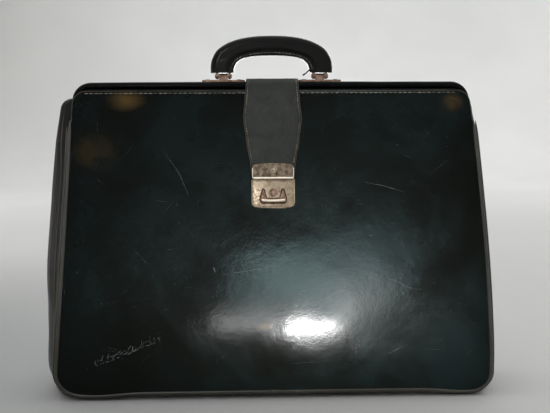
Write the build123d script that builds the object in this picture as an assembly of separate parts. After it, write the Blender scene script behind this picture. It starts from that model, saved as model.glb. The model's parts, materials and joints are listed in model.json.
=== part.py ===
from build123d import *
import math
import os

# A leather bag with a hinged steel top frame, a carrying handle and a locking strap.
# Millimetres. +Z is up, the front faces -Y, and the origin is the centre of the base.

# ---- Driving dimensions ----
BOTTOM_HALF = 202.5      # half width of a panel along its bottom seam
TOP_HALF = 187.0         # half width of a panel along its top edge
SIDE_BOW = 2.0           # how far the sides of a panel bow outward
SEAM_Z = 8.0             # height of the bottom seams above the floor
PANEL_TOP_Z = 288.0      # top edge of both panels
BOTTOM_CORNER = 20.0     # panel corner radii
TOP_CORNER = 13.0

PANEL_TOP_Y = 10.8       # outer face of a panel at its top edge, from the middle plane
STRAIGHT_Z = 170.0       # a panel is flat above this height and bellied below it
SLOPE = 0.188            # outward run of the flat part per unit of height
BELLY = [(42.6, 115.0), (46.6, 65.0)]
SEAM_Y = 41.5            # outer face of a panel at its bottom seam
LEATHER = 2.0            # panel leather
LINING = 0.8

PIVOT_Z = 262.0          # the two frame halves turn about this line
BAR_Y = 4.6              # centre of each top bar
BAR_Z = 292.3
ARM_X = 184.5            # centre of the frame arms
ROLL_R = 3.7             # leather-covered bar
CORE = 3.0               # square steel bar inside the roll
ARM_END_Z = 269.0        # where an arm becomes a flat lug

FIT = 0.05               # radial clearance of a running fit
GAP = 0.3                # clearance between pieces that pass each other

STRAP_TOP_HALF = 24.0
STRAP_WIDE_HALF = 27.3
STRAP_GAP = 0.6          # strap lining to panel
STRAP_LINING = 0.8
STRAP_LEATHER = 1.8

LOCK_HALF = 20.3         # half width of the lock's face plate
FACE_TOP = -84.9         # down the slope of the panel, from its top edge
FACE_BOTTOM = -111.9
FACE_T = 1.6
CASE_FRONT = -2.85       # the lock's case starts just behind the lining
CASE_BACK = -9.8
KEY_V = -97.0

HANDLE_Y = BAR_Y
HANDLE_X = 46.0          # centre of each handle foot
HANDLE_THICK = 10.0
PIN_Z = 302.1
PIN_R = 1.1
LEATHER_END_Z = 306.3
HANDLE_TOP_Z = 340.2
ARCH_TOP_Z = 321.5

# The flat upper part of the front panel: x along the bag, y up the slope, z outward.
SLANT = math.atan(SLOPE)
FACE = Plane(
    origin=(0, -PANEL_TOP_Y, PANEL_TOP_Z),
    x_dir=(1, 0, 0),
    z_dir=(0, -math.cos(SLANT), math.sin(SLANT)),
)


def save(name, *solids):
    """Write one node, made of one or more separate solids."""
    found = [one for item in solids for one in item.solids()]
    shape = found[0] if len(found) == 1 else Compound(children=found)
    shape.label = name
    export_step(shape, f"parts/{name}.step")


def block(low, high):
    """A box from its lowest to its highest corner."""
    size = [b - a for a, b in zip(low, high)]
    middle = [(a + b) / 2 for a, b in zip(low, high)]
    return Pos(*middle) * Box(*size)


def rod(start, end, radius):
    """A round rod between two points."""
    start, end = Vector(*start), Vector(*end)
    plane = Plane(origin=start, z_dir=end - start)
    return plane * Cylinder(radius, (end - start).length, align=(Align.CENTER, Align.CENTER, Align.MIN))


def rear(shape):
    """The same piece on the rear half."""
    return mirror(shape, about=Plane.XZ)


def left(shape):
    """The same piece at the left end."""
    return mirror(shape, about=Plane.YZ)


# ---- Panels ----
def profile(inset):
    """Side view of the front panel, from its top edge down to the bottom seam."""
    top = (-PANEL_TOP_Y + inset, PANEL_TOP_Z)
    knee_y = PANEL_TOP_Y + (PANEL_TOP_Z - STRAIGHT_Z) * SLOPE
    knee = (-knee_y + inset, STRAIGHT_Z)
    belly = [(-y + inset, z) for y, z in BELLY]
    seam = (-SEAM_Y + inset, SEAM_Z - 4)
    return Line(top, knee) + Spline(knee, *belly, seam, tangents=[(-SLOPE, -1), (0.2, -1)])


def wall(outer, inner):
    """A sheet with the panel's side view, between two insets, wider than the bag."""
    first = profile(outer)
    second = profile(inner)
    ends = Line(first @ 0, second @ 0) + Line(first @ 1, second @ 1)
    face = make_face(Plane.YZ * (first + second + ends))
    return extrude(face, amount=BOTTOM_HALF + 30, both=True)


def outline(grow, low=SEAM_Z, high=PANEL_TOP_Z):
    """A block with the panel's front view, bigger all round by grow."""
    wide = BOTTOM_HALF + grow
    narrow = TOP_HALF + grow
    low, high = low - grow, high + grow
    middle = (wide + narrow) / 2 + SIDE_BOW
    side = ThreePointArc((wide, low), (middle, (low + high) / 2), (narrow, high))
    other = ThreePointArc((-narrow, high), (-middle, (low + high) / 2), (-wide, low))
    edge = side + Line((narrow, high), (-narrow, high)) + other + Line((-wide, low), (wide, low))
    face = make_face(Plane.XZ * edge)
    bottom = face.vertices().filter_by_position(Axis.Z, low - 1, low + 1)
    face = fillet(bottom, BOTTOM_CORNER + grow)
    top = face.vertices().filter_by_position(Axis.Z, high - 1, high + 1)
    face = fillet(top, TOP_CORNER + grow)
    return extrude(face, amount=120, both=True)


def panel_at(z):
    """Distance of the panel's outer face from the middle plane at height z."""
    if z > STRAIGHT_Z:
        return PANEL_TOP_Y + (PANEL_TOP_Z - z) * SLOPE
    points = [(PANEL_TOP_Y + (PANEL_TOP_Z - STRAIGHT_Z) * SLOPE, STRAIGHT_Z), *BELLY, (SEAM_Y, SEAM_Z)]
    for (y1, z1), (y2, z2) in zip(points, points[1:]):
        if z >= z2:
            return y2 + (y1 - y2) * (z - z2) / (z1 - z2)
    return SEAM_Y


panel = wall(0, LEATHER) & outline(0)
lining = wall(LEATHER, LEATHER + LINING) & outline(-7)
PIPING = 1.8
piping = (wall(-0.9, LEATHER + 0.9) & outline(PIPING)) - outline(0)
piping -= block((-300, -100, PIVOT_Z - 2), (300, 0, 400))

# ---- Gusset: the folded strip that joins the two panels along the sides and the bottom ----
GUSSET = 2.0
FOLD_TOP = 197.0         # half width over the side folds, at the top and near the bottom
FOLD_LOW = 216.0
GUSSET_TOP_Z = 253.0
SEAM_SET = 3.3           # the gusset's edge sits this far behind the panel's outer face
CORNER_X = BOTTOM_HALF - BOTTOM_CORNER
CORNER_Z = SEAM_Z + BOTTOM_CORNER
FOLD_SIDE = 4.0          # half width of the fold's nose on the sides
FOLD_BOTTOM = 33.0       # half width of the flat base


def gusset_section(angle, z, reach, fold, nose):
    """Section of the strip. angle 0 is level on the side, 90 is upright under the bag."""
    seam_y = panel_at(z) - SEAM_SET
    ring = [
        (reach, -seam_y),
        (fold, -nose),
        (fold, nose),
        (reach, seam_y),
        (reach - GUSSET, seam_y),
        (fold - GUSSET, nose - GUSSET / 3),
        (fold - GUSSET, -nose + GUSSET / 3),
        (reach - GUSSET, -seam_y),
    ]
    turn = math.radians(angle)
    base_z = max(z, CORNER_Z)
    points = [
        (CORNER_X + u * math.cos(turn), y, base_z - u * math.sin(turn)) for u, y in ring
    ]
    return make_face(Polyline(*points, close=True))


def side_stations():
    """Sections from the top of the side strip down to the bottom corner."""
    heights = [GUSSET_TOP_Z, 210, STRAIGHT_Z, BELLY[0][1], BELLY[1][1], CORNER_Z]
    for z in heights:
        share = (GUSSET_TOP_Z - z) / (GUSSET_TOP_Z - CORNER_Z)
        edge = TOP_HALF + (BOTTOM_HALF - TOP_HALF) * (PANEL_TOP_Z - z) / (PANEL_TOP_Z - SEAM_Z)
        fold = FOLD_TOP + (FOLD_LOW - FOLD_TOP) * share
        yield gusset_section(0, z, edge - 1 - CORNER_X, fold - CORNER_X, FOLD_SIDE)


def corner_stations():
    """Sections around the bottom corner, after the first."""
    steps = 4
    for step in range(1, steps + 1):
        share = step / steps
        angle = 90 * share
        reach = BOTTOM_CORNER - 1
        side_fold = FOLD_LOW - CORNER_X
        fold = side_fold + (CORNER_Z - side_fold) * share
        nose = FOLD_SIDE + (FOLD_BOTTOM - FOLD_SIDE) * share
        z = CORNER_Z - reach * math.sin(math.radians(angle))
        yield gusset_section(angle, z, reach, fold, nose)


stations = [*side_stations(), *corner_stations()]
gusset_right = loft(stations, ruled=True)
gusset_left = left(gusset_right)
gusset_bottom = extrude(stations[-1], amount=2 * CORNER_X, dir=(-1, 0, 0))
BOARD = 2.0
bottom_board = block(
    (-CORNER_X, -FOLD_BOTTOM + 2, GUSSET), (CORNER_X, FOLD_BOTTOM - 2, GUSSET + BOARD)
)

# ---- Hinged frame ----
LUG_R = 5.5
LUG_T = 1.4
BEND = 14.0
RIVET_R = 1.6
FRONT_LUG = (ARM_X + 0.2, ARM_X + 0.2 + LUG_T)
REAR_LUG = (ARM_X - 0.2 - LUG_T, ARM_X - 0.2)


def bar_path(end_z):
    """Centre line of one frame half, from arm to arm."""
    points = [(ARM_X, end_z), (ARM_X, BAR_Z), (-ARM_X, BAR_Z), (-ARM_X, end_z)]
    path = FilletPolyline(*points, radius=BEND)
    return Plane(origin=(0, -BAR_Y, 0), x_dir=(1, 0, 0), z_dir=(0, -1, 0)) * path


def along(section, end_z):
    """Sweep a section along the frame half."""
    start = Plane(origin=(ARM_X, -BAR_Y, end_z), x_dir=(1, 0, 0), z_dir=(0, 0, 1))
    return sweep(start * section, path=bar_path(end_z))


def lug(x_low, x_high, bore):
    """Flat end of an arm with its rivet hole on the pivot line."""
    half = CORE / 2
    disc = rod((x_low, 0, PIVOT_Z), (x_high, 0, PIVOT_Z), LUG_R)
    strip = block((x_low, -BAR_Y - half, PIVOT_Z), (x_high, 0, ARM_END_Z + 2))
    return disc + strip - rod((x_low - 1, 0, PIVOT_Z), (x_high + 1, 0, PIVOT_Z), bore)


core = along(Rectangle(CORE, CORE), ARM_END_Z)
roll = along(Circle(ROLL_R), ARM_END_Z + 3) - core
front_lug = lug(*FRONT_LUG, RIVET_R + FIT)
rear_lug = rear(lug(*REAR_LUG, RIVET_R))
front_frame = core + front_lug + left(front_lug)
rear_frame = rear(core) + rear_lug + left(rear_lug)
front_binding = roll - front_frame
rear_binding = rear(roll) - rear_frame


def pivot_rivet():
    """Rivet through both lugs, headed at each end."""
    head = 3.2
    inner, outer = REAR_LUG[0], FRONT_LUG[1] + 0.1
    shaft = rod((inner, 0, PIVOT_Z), (outer, 0, PIVOT_Z), RIVET_R)
    inside = rod((inner - 1, 0, PIVOT_Z), (inner, 0, PIVOT_Z), head)
    outside = rod((outer, 0, PIVOT_Z), (outer + 1.2, 0, PIVOT_Z), head)
    return shaft + inside + outside


# ---- Strap ----
HINGE_Y = -PANEL_TOP_Y - 0.8
HINGE_Z = 300.2
STRAP_BACK = STRAP_GAP + STRAP_LINING
STRAP_FRONT = STRAP_BACK + STRAP_LEATHER
STRAP_TOP_V = 10.4
HASP_TOP = -69.7
HASP_BOTTOM = -83.4
HASP_HALF = 19.5
HASP_T = 1.1
WIDE_V = -26.5            # where the strap is widest
LINING_END_V = HASP_TOP + 2
LINING_END_HALF = 20.9


def slab(sketch, low, high):
    """A flat piece on the front panel's slope, between two heights above it."""
    return extrude(FACE.offset(low) * sketch, amount=high - low)


def strap_shape(end_v, end_half):
    """Front view of the hanging strap."""
    right = [(STRAP_TOP_HALF, STRAP_TOP_V), (STRAP_WIDE_HALF, WIDE_V), (end_half, end_v)]
    mirrored = [(-x, v) for x, v in reversed(right)]
    return make_face(Polyline(*right, *mirrored, close=True))


def hasp_shape():
    """The metal end of the strap: arched top, round shoulders."""
    shoulder = HASP_TOP - 3.6
    crown = HASP_TOP - 0.9
    edge = (
        Line((-HASP_HALF, HASP_BOTTOM), (HASP_HALF, HASP_BOTTOM))
        + Line((HASP_HALF, HASP_BOTTOM), (HASP_HALF, shoulder))
        + ThreePointArc((HASP_HALF, shoulder), (HASP_HALF - 0.9, crown - 0.9), (HASP_HALF - 3, crown))
        + ThreePointArc((HASP_HALF - 3, crown), (0, HASP_TOP), (3 - HASP_HALF, crown))
        + ThreePointArc((3 - HASP_HALF, crown), (0.9 - HASP_HALF, crown - 0.9), (-HASP_HALF, shoulder))
        + Line((-HASP_HALF, shoulder), (-HASP_HALF, HASP_BOTTOM))
    )
    return make_face(edge)


EYELET_V = -75.8
EYELET_R = 1.5
EYELET_HEAD_R = 3.8
EYELET_HEAD_T = 0.9
EYELET_DISH_R = 2.3
TONGUE_V = -81.0
TONGUE_HALF = 6.0
TONGUE_T = 1.8
TONGUE_REACH = 6.0

eyelet_hole = slab(Pos(0, EYELET_V) * Circle(EYELET_R), 0, STRAP_FRONT + 5)
strap_front = slab(strap_shape(HASP_BOTTOM, HASP_HALF - 0.8), STRAP_BACK, STRAP_FRONT) - eyelet_hole
strap_lining = slab(strap_shape(LINING_END_V, LINING_END_HALF), STRAP_GAP, STRAP_BACK)

fold = Pos(0, HASP_BOTTOM - HASP_T / 2) * Rectangle(2 * HASP_HALF, HASP_T)
hasp_plate = (
    slab(hasp_shape(), STRAP_FRONT, STRAP_FRONT + HASP_T)
    + slab(fold, STRAP_GAP, STRAP_FRONT + HASP_T)
    + slab(hasp_shape(), STRAP_GAP, STRAP_BACK)
) - eyelet_hole
tongue_shape = Pos(0, TONGUE_V) * Rectangle(2 * TONGUE_HALF, TONGUE_T)
hasp_tongue = slab(tongue_shape, STRAP_GAP - TONGUE_REACH, STRAP_GAP)
eyelet_top = STRAP_FRONT + HASP_T
hasp_eyelet = (
    slab(Pos(0, EYELET_V) * Circle(EYELET_R), STRAP_GAP, eyelet_top)
    + slab(Pos(0, EYELET_V) * Circle(EYELET_HEAD_R), eyelet_top, eyelet_top + EYELET_HEAD_T)
) - slab(Pos(0, EYELET_V) * Circle(EYELET_DISH_R), eyelet_top + EYELET_HEAD_T / 3, eyelet_top + 2)


TAIL_RUN = 72.0            # how far the tail reaches down the rear panel
TAIL_LIFT = 0.5            # between the top bars and the strap
TAIL_TOP_T = 2.6
TAIL_REAR_T = 2.65
TAIL_REAR_GAP = 0.1


def strap_tail_piece():
    """The part of the strap that runs over the closed frame and down the rear panel."""
    under = BAR_Z + ROLL_R + TAIL_LIFT
    over = under + TAIL_TOP_T
    end_z = PANEL_TOP_Z - TAIL_RUN
    down = (panel_at(end_z) + TAIL_REAR_GAP, end_z)
    shoulder = (PANEL_TOP_Y + TAIL_REAR_GAP, PANEL_TOP_Z)
    start_y = HINGE_Y + 3.1
    points = [
        (start_y, under),
        (shoulder[0] - 1.4, under),
        shoulder,
        down,
        (down[0] + TAIL_REAR_T, down[1]),
        (shoulder[0] + TAIL_REAR_T, PANEL_TOP_Z + 2),
        (shoulder[0] + 0.2, over),
        (start_y, over),
    ]
    face = make_face(Plane.YZ * Polyline(*points, close=True))
    return extrude(face, amount=STRAP_TOP_HALF, both=True)


rear_face = Plane(
    origin=(0, PANEL_TOP_Y, PANEL_TOP_Z),
    x_dir=(-1, 0, 0),
    z_dir=(0, math.cos(SLANT), math.sin(SLANT)),
)
ANCHOR_V = -64.0
ANCHOR_X = 13.0
ANCHOR_R = 1.6
ANCHOR_HEAD_R = 3.4
ANCHOR_HEAD_T = 0.9
ANCHOR_TOP = 2.8
ANCHOR_BACK = -3.9         # back of the plate inside the rear lining
BACKING_T = 1.1
BACKING_SIZE = (44, 14)


def rear_rod(x, v, low, high, radius):
    """A round piece square to the rear panel."""
    return extrude(rear_face.offset(low) * (Pos(x, v) * Circle(radius)), amount=high - low)


anchor_holes = [rear_rod(x, ANCHOR_V, 2 * ANCHOR_BACK, 6, ANCHOR_R) for x in (-ANCHOR_X, ANCHOR_X)]
strap_tail = strap_tail_piece() - anchor_holes
ANCHOR_HEAD = (ANCHOR_TOP, ANCHOR_TOP + ANCHOR_HEAD_T, ANCHOR_HEAD_R)
anchor_rivets = [
    rear_rod(x, ANCHOR_V, ANCHOR_BACK, ANCHOR_TOP, ANCHOR_R) + rear_rod(x, ANCHOR_V, *ANCHOR_HEAD)
    for x in (-ANCHOR_X, ANCHOR_X)
]
backing = rear_face.offset(ANCHOR_BACK) * (Pos(0, ANCHOR_V) * RectangleRounded(*BACKING_SIZE, 3))
strap_backing = extrude(backing, amount=BACKING_T) - anchor_holes

# ---- Lock on the front panel ----
RIM = 1.8
RIM_T = 1.0
CASE_HALF = 18.0
CASE_TOP = -74.0
CASE_BOTTOM = -110.0
CASE_WALL = 1.2
SLIDE_LOW = FACE_T + 0.1
SLIDE_HIGH = FACE_T + 1.4
SLIDE_BOTTOM = -106.3
SLIDE_TRAVEL = 2.0
STEM_V = -104.2
STEM_HALF = 2.5
STEM_T = 3.0
BOLT_WIDE = 9.0
STUD_X = 15.6
STUD_R = 1.2
POST_R = 2.0
STUD_END = -5.3
BOW = 1.2                  # how far the plate's bottom edge bows down
FACE_CORNER = 4.6
BAR_WIDE = 20.0            # raised bar along the foot of the slide
BAR_TALL = 1.6
BAR_PROUD = 0.6
BOLT_FRONT = -6.9
BOLT_BACK = -8.3
CAM_FRONT = -5.2
CAM_BACK = -6.5
PLUG_R = 3.3


def face_shape(inset):
    """Front view of the lock's face plate, smaller all round by inset, with a bowed bottom."""
    half = LOCK_HALF - inset
    low = FACE_BOTTOM + BOW + inset
    top = FACE_TOP
    edge = (
        Line((-half, top), (half, top))
        + Line((half, top), (half, low))
        + ThreePointArc((half, low), (0, low - BOW), (-half, low))
        + Line((-half, low), (-half, top))
    )
    face = make_face(edge)
    corners = face.vertices().filter_by_position(Axis.Y, low - 0.2, low + 0.2)
    return fillet(corners, FACE_CORNER - inset)


def slide_shape():
    """The U of the sliding catch: a flat bottom bar and two arms that taper upward."""
    right = [
        (3.0, SLIDE_BOTTOM),
        (10.6, SLIDE_BOTTOM),
        (12.2, SLIDE_BOTTOM + 2.6),
        (11.2, SLIDE_BOTTOM + 7.0),
        (9.4, SLIDE_BOTTOM + 12.3),
        (8.4, SLIDE_BOTTOM + 12.3),
        (7.0, SLIDE_BOTTOM + 6.0),
        (5.4, SLIDE_BOTTOM + 3.6),
    ]
    mirrored = [(-x, v) for x, v in reversed(right)]
    return make_face(Polyline(*right, *mirrored, close=True))


def stud_places():
    """The four corners where the face plate is held to the case."""
    return [(x, v) for x in (-STUD_X, STUD_X) for v in (CASE_BOTTOM + 3, FACE_TOP - 4)]


stem_slot = Pos(0, STEM_V - SLIDE_TRAVEL / 2) * Rectangle(2 * STEM_HALF + 0.8, STEM_T + SLIDE_TRAVEL + 0.8)
through = [
    slab(stem_slot, -6, 6),
    slab(Pos(0, KEY_V) * Circle(PLUG_R + FIT), -6, 6),
    slab(Pos(0, TONGUE_V + 0.6) * Rectangle(2 * TONGUE_HALF + 1.2, TONGUE_T + 2.4), -6, 0.3),
    *[slab(Pos(x, v) * Circle(STUD_R), -6, 0) for x, v in stud_places()],
]
rim = slab(face_shape(0), FACE_T, FACE_T + RIM_T) - slab(
    face_shape(RIM) + Pos(0, FACE_TOP) * Rectangle(2 * (LOCK_HALF - RIM), 8), FACE_T, FACE_T + RIM_T
)
lock_face = slab(face_shape(0), 0, FACE_T) + rim - through
front_panel = panel - through
front_lining = lining - through
case_block = Pos(0, (CASE_TOP + CASE_BOTTOM) / 2) * RectangleRounded(
    2 * CASE_HALF, CASE_TOP - CASE_BOTTOM, 3
)
case_room = Pos(0, (CASE_TOP + CASE_BOTTOM) / 2) * Rectangle(
    2 * (CASE_HALF - CASE_WALL), CASE_TOP - CASE_BOTTOM - 2 * CASE_WALL
)
posts = [slab(Pos(x, v) * Circle(POST_R), CASE_BACK, CASE_FRONT) for x, v in stud_places()]
lock_case = (
    slab(case_block, CASE_BACK, CASE_FRONT)
    - slab(case_room, CASE_BACK + CASE_WALL, CASE_FRONT)
    + posts
)
stud_holes = [slab(Pos(x, v) * Circle(STUD_R), STUD_END, 0) for x, v in stud_places()]
lock_case -= stud_holes
lock_slide = slab(slide_shape(), SLIDE_LOW, SLIDE_HIGH) + slab(
    Pos(0, STEM_V) * Rectangle(2 * STEM_HALF, STEM_T), BOLT_FRONT, SLIDE_HIGH
)
lock_slide += slab(
    Pos(0, SLIDE_BOTTOM + 1.1) * Rectangle(BAR_WIDE, BAR_TALL), SLIDE_HIGH, SLIDE_HIGH + BAR_PROUD
)
bolt_low = STEM_V - STEM_T / 2
bolt_high = TONGUE_V - TONGUE_T / 2 - 0.4
lock_bolt = slab(
    Pos(0, (bolt_low + bolt_high) / 2) * Rectangle(BOLT_WIDE, bolt_high - bolt_low), BOLT_BACK, BOLT_FRONT
)
lock_spring = slab(
    Pos(0, bolt_low - 1.5) * (Rectangle(4.0, 2.8) - Rectangle(2.4, 1.6)), BOLT_BACK, BOLT_FRONT
)
keyhole = slab(Pos(0, KEY_V) * Circle(1.1) + Pos(0, KEY_V - 1.4) * Rectangle(1.2, 2.2), FACE_T - 3, 4)
key_plug = slab(Pos(0, KEY_V) * Circle(PLUG_R), CAM_FRONT, FACE_T + 0.5) - keyhole
key_cam = slab(
    Pos(0, KEY_V) * Circle(PLUG_R) + Pos(0, KEY_V + 3.6) * Rectangle(3.4, 6.4), CAM_BACK, CAM_FRONT
)

# ---- Handle ----
PRONG_X = 5.8
PRONG_T = 2.6
PRONG_R = 2.8
PLATE_LOW = BAR_Z + ROLL_R + 0.1
PLATE_HIGH = PLATE_LOW + 2.4
PLATE_HALF = 20.5
PLATE_WIDE = 8.6
KNUCKLE_R = 2.5
PRONG_TOP = 309.5
WEB_LOW = 307.5
PIN_HEAD_R = 1.9
PIN_HEAD_T = 0.8


def arch_edge(outer):
    """Upper or lower edge of the handle from left to right, in front view."""
    if outer:
        half = [(57.2, LEATHER_END_Z), (55.9, 317.5), (49.5, 328.0), (37.0, 335.4), (20.0, 339.2)]
        crown = (0, HANDLE_TOP_Z)
    else:
        half = [(36.0, LEATHER_END_Z), (34.9, 312.2), (30.4, 317.2), (21.0, 320.3)]
        crown = (0, ARCH_TOP_Z)
    return [(-x, z) for x, z in half] + [crown] + list(reversed(half))


def arch(half_thick):
    """The padded handle as a flat arch."""
    top = arch_edge(True)
    low = arch_edge(False)
    edge = Spline(*top, tangents=[(0, 1), (0, -1)])
    edge += Spline(*low, tangents=[(0, 1), (0, -1)])
    edge += Line(top[0], low[0])
    edge += Line(top[-1], low[-1])
    plane = Plane(origin=(0, HANDLE_Y, 0), x_dir=(1, 0, 0), z_dir=(0, -1, 0))
    return extrude(plane * make_face(edge), amount=half_thick, both=True)


def core_strip():
    """Steel strip inside the handle, from foot to foot."""
    crown = (HANDLE_TOP_Z + ARCH_TOP_Z) / 2 - 1
    points = [(-HANDLE_X, PRONG_TOP), (-40, ARCH_TOP_Z), (0, crown), (40, ARCH_TOP_Z), (HANDLE_X, PRONG_TOP)]
    lower = Spline(*points, tangents=[(0.15, 1), (0.15, -1)])
    upper = Spline(*[(x * 1.045, z + 2) for x, z in points], tangents=[(0.15, 1), (0.15, -1)])
    edge = lower + upper + Line(lower @ 0, upper @ 0) + Line(lower @ 1, upper @ 1)
    plane = Plane(origin=(0, HANDLE_Y, 0), x_dir=(1, 0, 0), z_dir=(0, -1, 0))
    return extrude(plane * make_face(edge), amount=2.5, both=True)


def clevis():
    """Fork under the right end of the handle, with its two eyes on the pin line."""
    pieces = []
    for side in (-1, 1):
        middle = HANDLE_X + side * PRONG_X
        low, high = middle - PRONG_T / 2, middle + PRONG_T / 2
        eye = rod((low, HANDLE_Y, PIN_Z), (high, HANDLE_Y, PIN_Z), PRONG_R)
        bar = block((low, HANDLE_Y - PRONG_R, PIN_Z), (high, HANDLE_Y + PRONG_R, PRONG_TOP))
        pieces.append(eye + bar)
    web = block(
        (HANDLE_X - PRONG_X, HANDLE_Y - PRONG_R, WEB_LOW),
        (HANDLE_X + PRONG_X, HANDLE_Y + PRONG_R, PRONG_TOP),
    )
    ends = (HANDLE_X - 12, HANDLE_Y, PIN_Z), (HANDLE_X + 12, HANDLE_Y, PIN_Z)
    return pieces[0] + pieces[1] + web - rod(*ends, PIN_R + FIT)


def handle_base():
    """Plate with round ends and a knuckle for the pin."""
    plate = Pos(HANDLE_X, HANDLE_Y) * SlotOverall(2 * PLATE_HALF, PLATE_WIDE)
    body = extrude(Plane.XY.offset(PLATE_LOW) * plate, amount=PLATE_HIGH - PLATE_LOW)
    half = PRONG_X - PRONG_T / 2 - GAP
    low, high = HANDLE_X - half, HANDLE_X + half
    body += rod((low, HANDLE_Y, PIN_Z), (high, HANDLE_Y, PIN_Z), KNUCKLE_R)
    body += block((low, HANDLE_Y - KNUCKLE_R, PLATE_LOW), (high, HANDLE_Y + KNUCKLE_R, PIN_Z))
    body -= rod((low - 1, HANDLE_Y, PIN_Z), (high + 1, HANDLE_Y, PIN_Z), PIN_R)
    return body


def handle_pin():
    """Pin through both prongs and the knuckle, with a head at each end."""
    reach = PRONG_X + PRONG_T / 2 + 0.15
    low, high = HANDLE_X - reach, HANDLE_X + reach
    shaft = rod((low, HANDLE_Y, PIN_Z), (high, HANDLE_Y, PIN_Z), PIN_R)
    heads = [
        rod((low - PIN_HEAD_T, HANDLE_Y, PIN_Z), (low, HANDLE_Y, PIN_Z), PIN_HEAD_R),
        rod((high, HANDLE_Y, PIN_Z), (high + PIN_HEAD_T, HANDLE_Y, PIN_Z), PIN_HEAD_R),
    ]
    return shaft + heads


RIVET_REACH = 15.0
RIVET_SHAFT = 1.3
RIVET_HEAD_R = 2.2
RIVET_HEAD_T = 0.6
BAR_TOP = BAR_Z + CORE / 2


def base_rivets():
    """Rivets that hold the handle plates down on the rear frame bar."""
    for x in (HANDLE_X - RIVET_REACH, HANDLE_X + RIVET_REACH):
        shaft = rod((x, HANDLE_Y, BAR_TOP), (x, HANDLE_Y, PLATE_HIGH), RIVET_SHAFT)
        head_top = (x, HANDLE_Y, PLATE_HIGH + RIVET_HEAD_T)
        yield shaft + rod((x, HANDLE_Y, PLATE_HIGH), head_top, RIVET_HEAD_R)


def rivet_holes():
    """Holes for those rivets."""
    for side in (-1, 1):
        for x in (HANDLE_X - RIVET_REACH, HANDLE_X + RIVET_REACH):
            yield rod((side * x, HANDLE_Y, BAR_TOP), (side * x, HANDLE_Y, PLATE_HIGH), RIVET_SHAFT)


clevis_right = clevis()
clevis_left = left(clevis_right)
handle_core = core_strip()
foot_room = block(
    (HANDLE_X - PRONG_X - PRONG_T / 2, 0, LEATHER_END_Z - 1),
    (HANDLE_X + PRONG_X + PRONG_T / 2, 20, WEB_LOW),
)
handle_cover = arch(HANDLE_THICK / 2) - (foot_room + left(foot_room))
handle_cover = handle_cover - (handle_core + clevis_right + clevis_left)
base_right = handle_base() - list(rivet_holes())
base_left = left(base_right)
rear_binding = rear_binding - list(rivet_holes())
rivets_right = list(base_rivets())

# ---- Write every node ----
os.makedirs("parts", exist_ok=True)
save("front_panel", front_panel)
save("rear_panel", rear(panel) - anchor_holes)
save("front_lining", front_lining)
save("rear_lining", rear(lining) - anchor_holes)
save("front_piping", piping)
save("rear_piping", rear(piping))
save("gusset_left", gusset_left)
save("gusset_right", gusset_right)
save("gusset_bottom", gusset_bottom)
save("bottom_board", bottom_board)
save("front_frame", front_frame)
save("rear_frame", rear_frame)
save("front_binding", front_binding)
save("rear_binding", rear_binding)
save("pivot_rivet_left", left(pivot_rivet()))
save("pivot_rivet_right", pivot_rivet())
save("strap_front", strap_front)
save("strap_lining", strap_lining)
save("strap_tail", strap_tail)
save("strap_anchor_rivets", *anchor_rivets)
save("strap_backing_plate", strap_backing)
save("hasp_plate", hasp_plate)
save("hasp_tongue", hasp_tongue)
save("hasp_eyelet", hasp_eyelet)
save("lock_face", lock_face)
save("lock_case", lock_case)
save("lock_studs", *stud_holes)
save("lock_slide", lock_slide)
save("lock_bolt", lock_bolt)
save("lock_spring", lock_spring)
save("key_plug", key_plug)
save("key_cam", key_cam)
save("handle_cover", handle_cover)
save("handle_core", handle_core)
save("handle_clevis_left", clevis_left)
save("handle_clevis_right", clevis_right)
save("handle_pin_left", left(handle_pin()))
save("handle_pin_right", handle_pin())
save("handle_base_left", base_left)
save("handle_base_right", base_right)
save("handle_base_rivets", *rivets_right, *[left(rivet) for rivet in rivets_right])

print("strap hinge", (0, HINGE_Y, HINGE_Z))
print("slide axis", -FACE.y_dir)
print("key axis", FACE.z_dir, "through", FACE.from_local_coords(Vector(0, KEY_V, 0)))
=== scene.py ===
import json
import math
import random

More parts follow.
